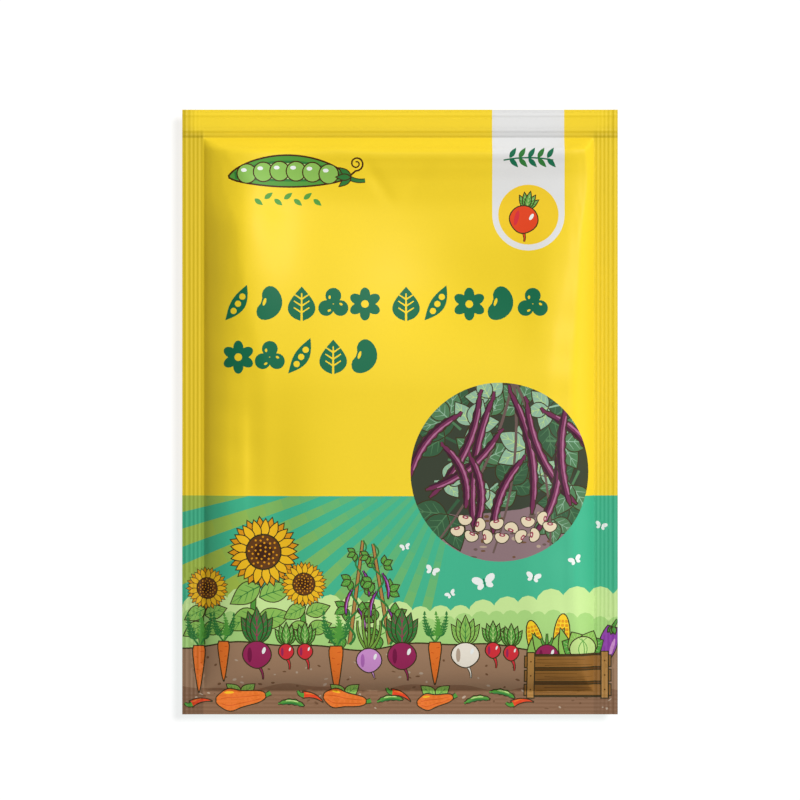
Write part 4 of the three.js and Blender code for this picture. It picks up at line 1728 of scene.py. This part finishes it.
@dataclass
class FilmSheet:
    """One film sheet: an outer face cut along its inks, a plain inner face and the cut rim between."""

    name: str
    node: str
    slot: str
    facing: int
    art: Artwork
    outside: HeightMap
    inside: HeightMap
    sizes: PacketSizes
    finish: PrintedLaminate
    ground: Ink = Ink.YELLOW
    outer_lattice: Lattice = Lattice(0.24, 1.6)
    inner_lattice: Lattice = Lattice(1.2, 3.0)
    map_margin: float = 0.01
    rim_map_height: float = 0.02
    edge_reach: float = 0.001

    def window(self) -> Outline:
        """Returns the whole flat sheet."""
        return Outline.sheet(self.sizes, self.sizes.half_height)

    def cut_face(self) -> SheetCut:
        """Returns the flat sheet cut along its visible inks and its lattice."""
        cut = SheetCut(self.art.clipped(self.window()), self.ground)
        cut.cut_along_outlines(self.window())
        cut.cut_along_lattice(*self.outer_lattice.cut(self.sizes))
        return cut

    def border_of(self, flat: Array) -> Array:
        """Returns the indices of the points on the sheet's edge, anticlockwise."""
        over_x = self.sizes.half_width - np.abs(flat[:, 0])
        over_y = self.sizes.half_height - np.abs(flat[:, 1])
        edge = np.flatnonzero(np.minimum(over_x, over_y) < self.edge_reach)
        return edge[np.argsort(np.arctan2(flat[edge, 1], flat[edge, 0]))]

    def inner_face(self, border: Array) -> tuple[Array, list[list[int]]]:
        """Fills the sheet's edge with a wider lattice, for the plain inner face.

        Args:
            border: The points on the sheet's edge.

        Returns:
            The points, of which the first are the border's, and the triangles.
        """
        columns, rows = self.inner_lattice.cut(self.sizes)
        lattice = np.stack(np.meshgrid(columns[1:-1], rows[1:-1]), axis=-1).reshape(-1, 2)
        flat = np.concatenate([border, lattice])
        filled = delaunay_2d_cdt([Vector(point) for point in flat], [], [], 0, SheetCut.weld, True)
        return flat, [[filled[3][corner][0] for corner in triangle] for triangle in filled[2]]

    def build(self) -> bpy.types.Object:
        """Builds the sheet as one closed piece with its print, its map and its material."""
        cut = self.cut_face()
        flat = cut.places
        edge = self.border_of(flat)
        inner_flat, inner_triangles = self.inner_face(flat[edge])
        outer_x, inner_x = self.facing * flat[:, 0], self.facing * inner_flat[:, 0]
        outer_z, inner_z = self.outside(outer_x, flat[:, 1]), self.inside(inner_x, inner_flat[:, 1])
        sheet = bmesh.new()
        outer = [sheet.verts.new(place) for place in np.stack([outer_x, flat[:, 1], outer_z], 1) * MM]
        inner = [sheet.verts.new(place) for place in np.stack([inner_x, inner_flat[:, 1], inner_z], 1) * MM]
        faces = [[outer[corner] for corner in triangle] for triangle in cut.triangles]
        faces += [[inner[corner] for corner in reversed(triangle)] for triangle in inner_triangles]
        for place in range(len(edge)):
            after = (place + 1) % len(edge)
            faces.append([outer[edge[place]], inner[place], inner[after], outer[edge[after]]])
        for corners in faces:
            sheet.faces.new(corners).smooth = True
        piece = make_piece(self.name, sheet, self.finish.material())
        self.print_on(piece.data, cut)
        self.shade(piece.data, flat, inner_flat, len(cut.triangles), len(inner_triangles))
        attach(piece, ROOT)
        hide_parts(self.node)
        counts = len(piece.data.polygons), len(self.art.patches)
        LOG.info("%s: %d faces, %d patches of ink", self.name, *counts)
        return piece

    @staticmethod
    def print_on(mesh: bpy.types.Mesh, cut: SheetCut) -> None:
        """Gives the outer triangles, which come first, their inks, and the rest the bare film."""
        palette = np.array([ink.colour() for ink in cut.palette])
        colours = np.tile(palette[cut.palette.index(Ink.FILM_CORE)], (len(mesh.loops), 1))
        colours[: 3 * len(cut.inks)] = np.repeat(palette[cut.inks], 3, axis=0)
        layer = mesh.color_attributes.new(name="print", type="FLOAT_COLOR", domain="CORNER")
        layer.data.foreach_set("color", colours.astype(np.float32).ravel())

    def shade(
        self,
        mesh: bpy.types.Mesh,
        flat: Array,
        inner_flat: Array,
        outer_count: int,
        inner_count: int,
    ) -> None:
        """Gives the mesh the exact normals of its height maps, and lays its map out.

        Args:
            mesh: The sheet's mesh, with its outer triangles first, then the inner ones, then the rim.
            flat: The outer points on the flat sheet.
            inner_flat: The inner points on the flat sheet.
            outer_count: How many outer triangles there are.
            inner_count: How many inner triangles there are.
        """
        corner_vertex = np.zeros(len(mesh.loops), int)
        mesh.loops.foreach_get("vertex_index", corner_vertex)
        outer_normals = self.facing * normals_of(self.outside, self.facing * flat[:, 0], flat[:, 1])
        inner_x = self.facing * inner_flat[:, 0]
        inner_normals = -self.facing * normals_of(self.inside, inner_x, inner_flat[:, 1])
        by_vertex = np.concatenate([outer_normals, inner_normals])
        corner_normals = by_vertex[corner_vertex]
        rim = slice(3 * (outer_count + inner_count), None)
        corner_normals[rim] = 0.0
        mesh.normals_split_custom_set(corner_normals.tolist())

        sizes, margin = self.sizes, self.map_margin
        scale = (1 - 2 * margin) / (2 * sizes.half_height)
        inner_scale = (1 - 3 * margin - 2 * sizes.half_width * scale) / (2 * sizes.half_width)
        centre = (sizes.half_width, sizes.half_height)
        outer_map = (flat + centre) * scale + margin
        inner_start = (2 * margin + 2 * sizes.half_width * scale, margin)
        inner_map = (inner_flat + centre) * inner_scale + inner_start
        corner_map = np.concatenate([outer_map, inner_map])[corner_vertex]
        rim_places = np.concatenate([flat, inner_flat])[corner_vertex[rim]]
        share = (np.arctan2(rim_places[:, 1], rim_places[:, 0]) + np.pi) / (2 * np.pi)
        outer_side = corner_vertex[rim] < len(flat)
        inner_width = 2 * sizes.half_width * inner_scale
        corner_map[rim, 0] = inner_start[0] + share * inner_width
        corner_map[rim, 1] = 1 - margin - self.rim_map_height * outer_side
        layer = mesh.uv_layers.new(name="OFBake")
        layer.uv.foreach_set("vector", corner_map.astype(np.float32).ravel())


@dataclass(frozen=True)
class PeaPlace:
    """Where one pea lies and how large it is."""

    x: float
    y: float
    turn: float
    scale: float


@dataclass
class LoosePeas:
    """The dry peas in the packet, a finer form of each of the frame's, drawn by the same seeded rule."""

    sizes: PacketSizes
    count: int = 40
    length: float = 8.2
    width: float = 6.2
    depth: float = 5.0
    bend: float = 0.9
    hilum_depth: float = 0.55
    hilum_reach: float = 1.5
    size_spread: float = 0.12
    spacing: float = 9.6
    clearance: float = 0.3
    field_width: float = 84.0
    field_bottom: float = -66.0
    field_top: float = 54.0
    seed: int = 20
    draw_factor: int = 16807
    draw_modulus: int = 2147483647
    around: int = 24
    along: int = 14

    def draws(self) -> Iterable[float]:
        """Yields the same random numbers that placed the frame's peas."""
        state = self.seed
        while True:
            state = (state * self.draw_factor) % self.draw_modulus
            yield state / self.draw_modulus

    def places(self) -> list[PeaPlace]:
        """Returns every pea's place, no two nearer than the spacing."""
        draws = self.draws()
        found: list[PeaPlace] = []
        while len(found) < self.count:
            x = (next(draws) - 0.5) * self.field_width
            y = self.field_bottom + next(draws) * (self.field_top - self.field_bottom)
            turn = next(draws) * 2 * pi
            scale = 1 - next(draws) * self.size_spread
            if all(hypot(other.x - x, other.y - y) > self.spacing for other in found):
                found.append(PeaPlace(x, y, turn, scale))
        return found

    def build_one(self, number: int, place: PeaPlace, skin: bpy.types.Material) -> bpy.types.Object:
        """Builds one pea.

        Args:
            number: The pea's number, from 1.
            place: Where it lies.
            skin: Its material.

        Returns:
            The piece.
        """
        name = f"pea_{number:02d}"
        pea = bmesh.new()
        bmesh.ops.create_uvsphere(pea, u_segments=self.around, v_segments=self.along, radius=0.5)
        bmesh.ops.rotate(pea, verts=pea.verts, matrix=Matrix.Rotation(pi / 2, 3, "Y"))
        local = pea.verts.layers.float_vector.new("pea_place")
        lift = self.sizes.film + self.clearance + self.depth * place.scale / 2
        for vertex in pea.verts:
            x = vertex.co.x * self.length
            hollow = self.hilum_depth * max(vertex.co.y * 2, 0.0) * exp(-((x / self.hilum_reach) ** 2))
            y = vertex.co.y * self.width + self.bend * (2 * x / self.length) ** 2 - hollow
            vertex.co = Vector((x, y, vertex.co.z * self.depth))
            vertex[local] = vertex.co
            vertex.co = vertex.co * place.scale
        bmesh.ops.rotate(pea, verts=pea.verts, matrix=Matrix.Rotation(place.turn, 3, "Z"))
        bmesh.ops.translate(pea, verts=pea.verts, vec=(place.x, place.y, lift))
        bmesh.ops.scale(pea, verts=pea.verts, vec=(MM, MM, MM))
        for face in pea.faces:
            face.smooth = True
        piece = make_piece(f"{name}_seed", pea, skin)
        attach(piece, ROOT)
        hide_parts(name)
        return piece

    def build(self) -> list[bpy.types.Object]:
        """Builds every pea."""
        skin = PeaSkin().material()
        pieces = [self.build_one(index + 1, place, skin) for index, place in enumerate(self.places())]
        LOG.info("%d peas", len(pieces))
        return pieces


@dataclass
class Packet:
    """The packet: its two film sheets and the peas between them."""

    sizes: PacketSizes

    def front_art(self) -> Artwork:
        """Returns the print of the front, from the ground up."""
        art = Artwork()
        for part in (
            GardenScene().draw(self.sizes),
            Roundel().draw(),
            SilhouetteRows().draw(),
            Emblem().draw(),
            Badge().draw(self.sizes.half_height),
        ):
            art.add(part)
        return art

    def build(self) -> None:
        """Builds the sheets and the peas."""
        relief = FilmRelief(self.sizes)
        back_art = BackPanel().draw(self.sizes)
        for side, facing, art, outside, inside in (
            ("front", 1, self.front_art(), relief.front_outside, relief.front_inside),
            ("back", -1, back_art, relief.back_outside, relief.back_inside),
        ):
            names = (f"{side}_sheet", f"{side}_film", f"{side}_print")
            finish = PrintedLaminate(f"{side}_laminate", self.sizes)
            FilmSheet(*names, facing, art, outside, inside, self.sizes, finish).build()
        LoosePeas(self.sizes).build()


@dataclass
class Studio:
    """The pale floor, the soft light and the camera that looks straight down."""

    photo_pixels: float = 800.0
    packet_pixels: float = 435.4
    centre_down: float = 412.0
    lens: float = 200.0
    sensor: float = 36.0
    floor_size: float = 3.0
    floor_gap: float = 0.05
    sight: float = 20.0
    key_strength: float = 3.55
    key_softness: float = 22.0
    key_elevation: float = 57.0
    key_bearing: float = 36.0
    sky_strength: float = 0.06

    def build(self, sizes: PacketSizes) -> None:
        """Builds the floor, the lights and the camera."""
        self.build_floor()
        self.build_light()
        self.build_camera(sizes)

    def build_floor(self) -> None:
        """Builds the floor, just under what lies on it."""
        sheet = bmesh.new()
        bmesh.ops.create_grid(sheet, x_segments=8, y_segments=8, size=self.floor_size)
        bmesh.ops.translate(sheet, verts=sheet.verts, vec=(0, 0, -self.floor_gap * MM))
        floor = make_piece("studio_floor", sheet, StudioPaper().material())

    def build_light(self) -> None:
        """Builds the soft key light from the upper right, and an even white sky."""
        key = bpy.data.lights.new("key_light", "SUN")
        key.energy = self.key_strength
        key.angle = radians(self.key_softness)
        lamp = bpy.data.objects.new("key_light", key)
        elevation, bearing = radians(self.key_elevation), radians(self.key_bearing)
        towards = Vector(
            (
                cos(elevation) * cos(bearing),
                cos(elevation) * sin(bearing),
                sin(elevation),
            )
        )
        lamp.rotation_euler = towards.to_track_quat("Z", "Y").to_euler()
        bpy.context.scene.collection.objects.link(lamp)
        world = bpy.data.worlds.new("studio_sky")
        bpy.context.scene.world = world
        world.use_nodes = True
        background = world.node_tree.nodes["Background"]
        background.inputs["Color"].default_value = (1.0, 1.0, 1.0, 1.0)
        background.inputs["Strength"].default_value = self.sky_strength
        bpy.context.scene.view_settings.view_transform = "Standard"

    def build_camera(self, sizes: PacketSizes) -> None:
        """Builds the camera, straight over the point of the packet at the middle of the photograph."""
        camera = bpy.data.cameras.new("photo_camera")
        camera.lens = self.lens
        camera.sensor_width = self.sensor
        camera.clip_end = self.sight
        millimetres_per_pixel = 2 * sizes.half_width / self.packet_pixels
        distance = self.photo_pixels * millimetres_per_pixel * self.lens / self.sensor
        middle_up = (self.centre_down - self.photo_pixels / 2) * millimetres_per_pixel
        eye = bpy.data.objects.new("photo_camera", camera)
        eye.location = Vector((0.0, middle_up, sizes.seal_plane + distance)) * MM
        bpy.context.scene.collection.objects.link(eye)
        bpy.context.scene.camera = eye


def main() -> None:
    """Builds the packet and the studio, in that order."""
    logging.basicConfig(level=logging.INFO, format="%(name)s: %(message)s")
    sizes = PacketSizes.from_frame()
    Packet(sizes).build()
    Studio().build(sizes)


if __name__ == "__main__":
    main()
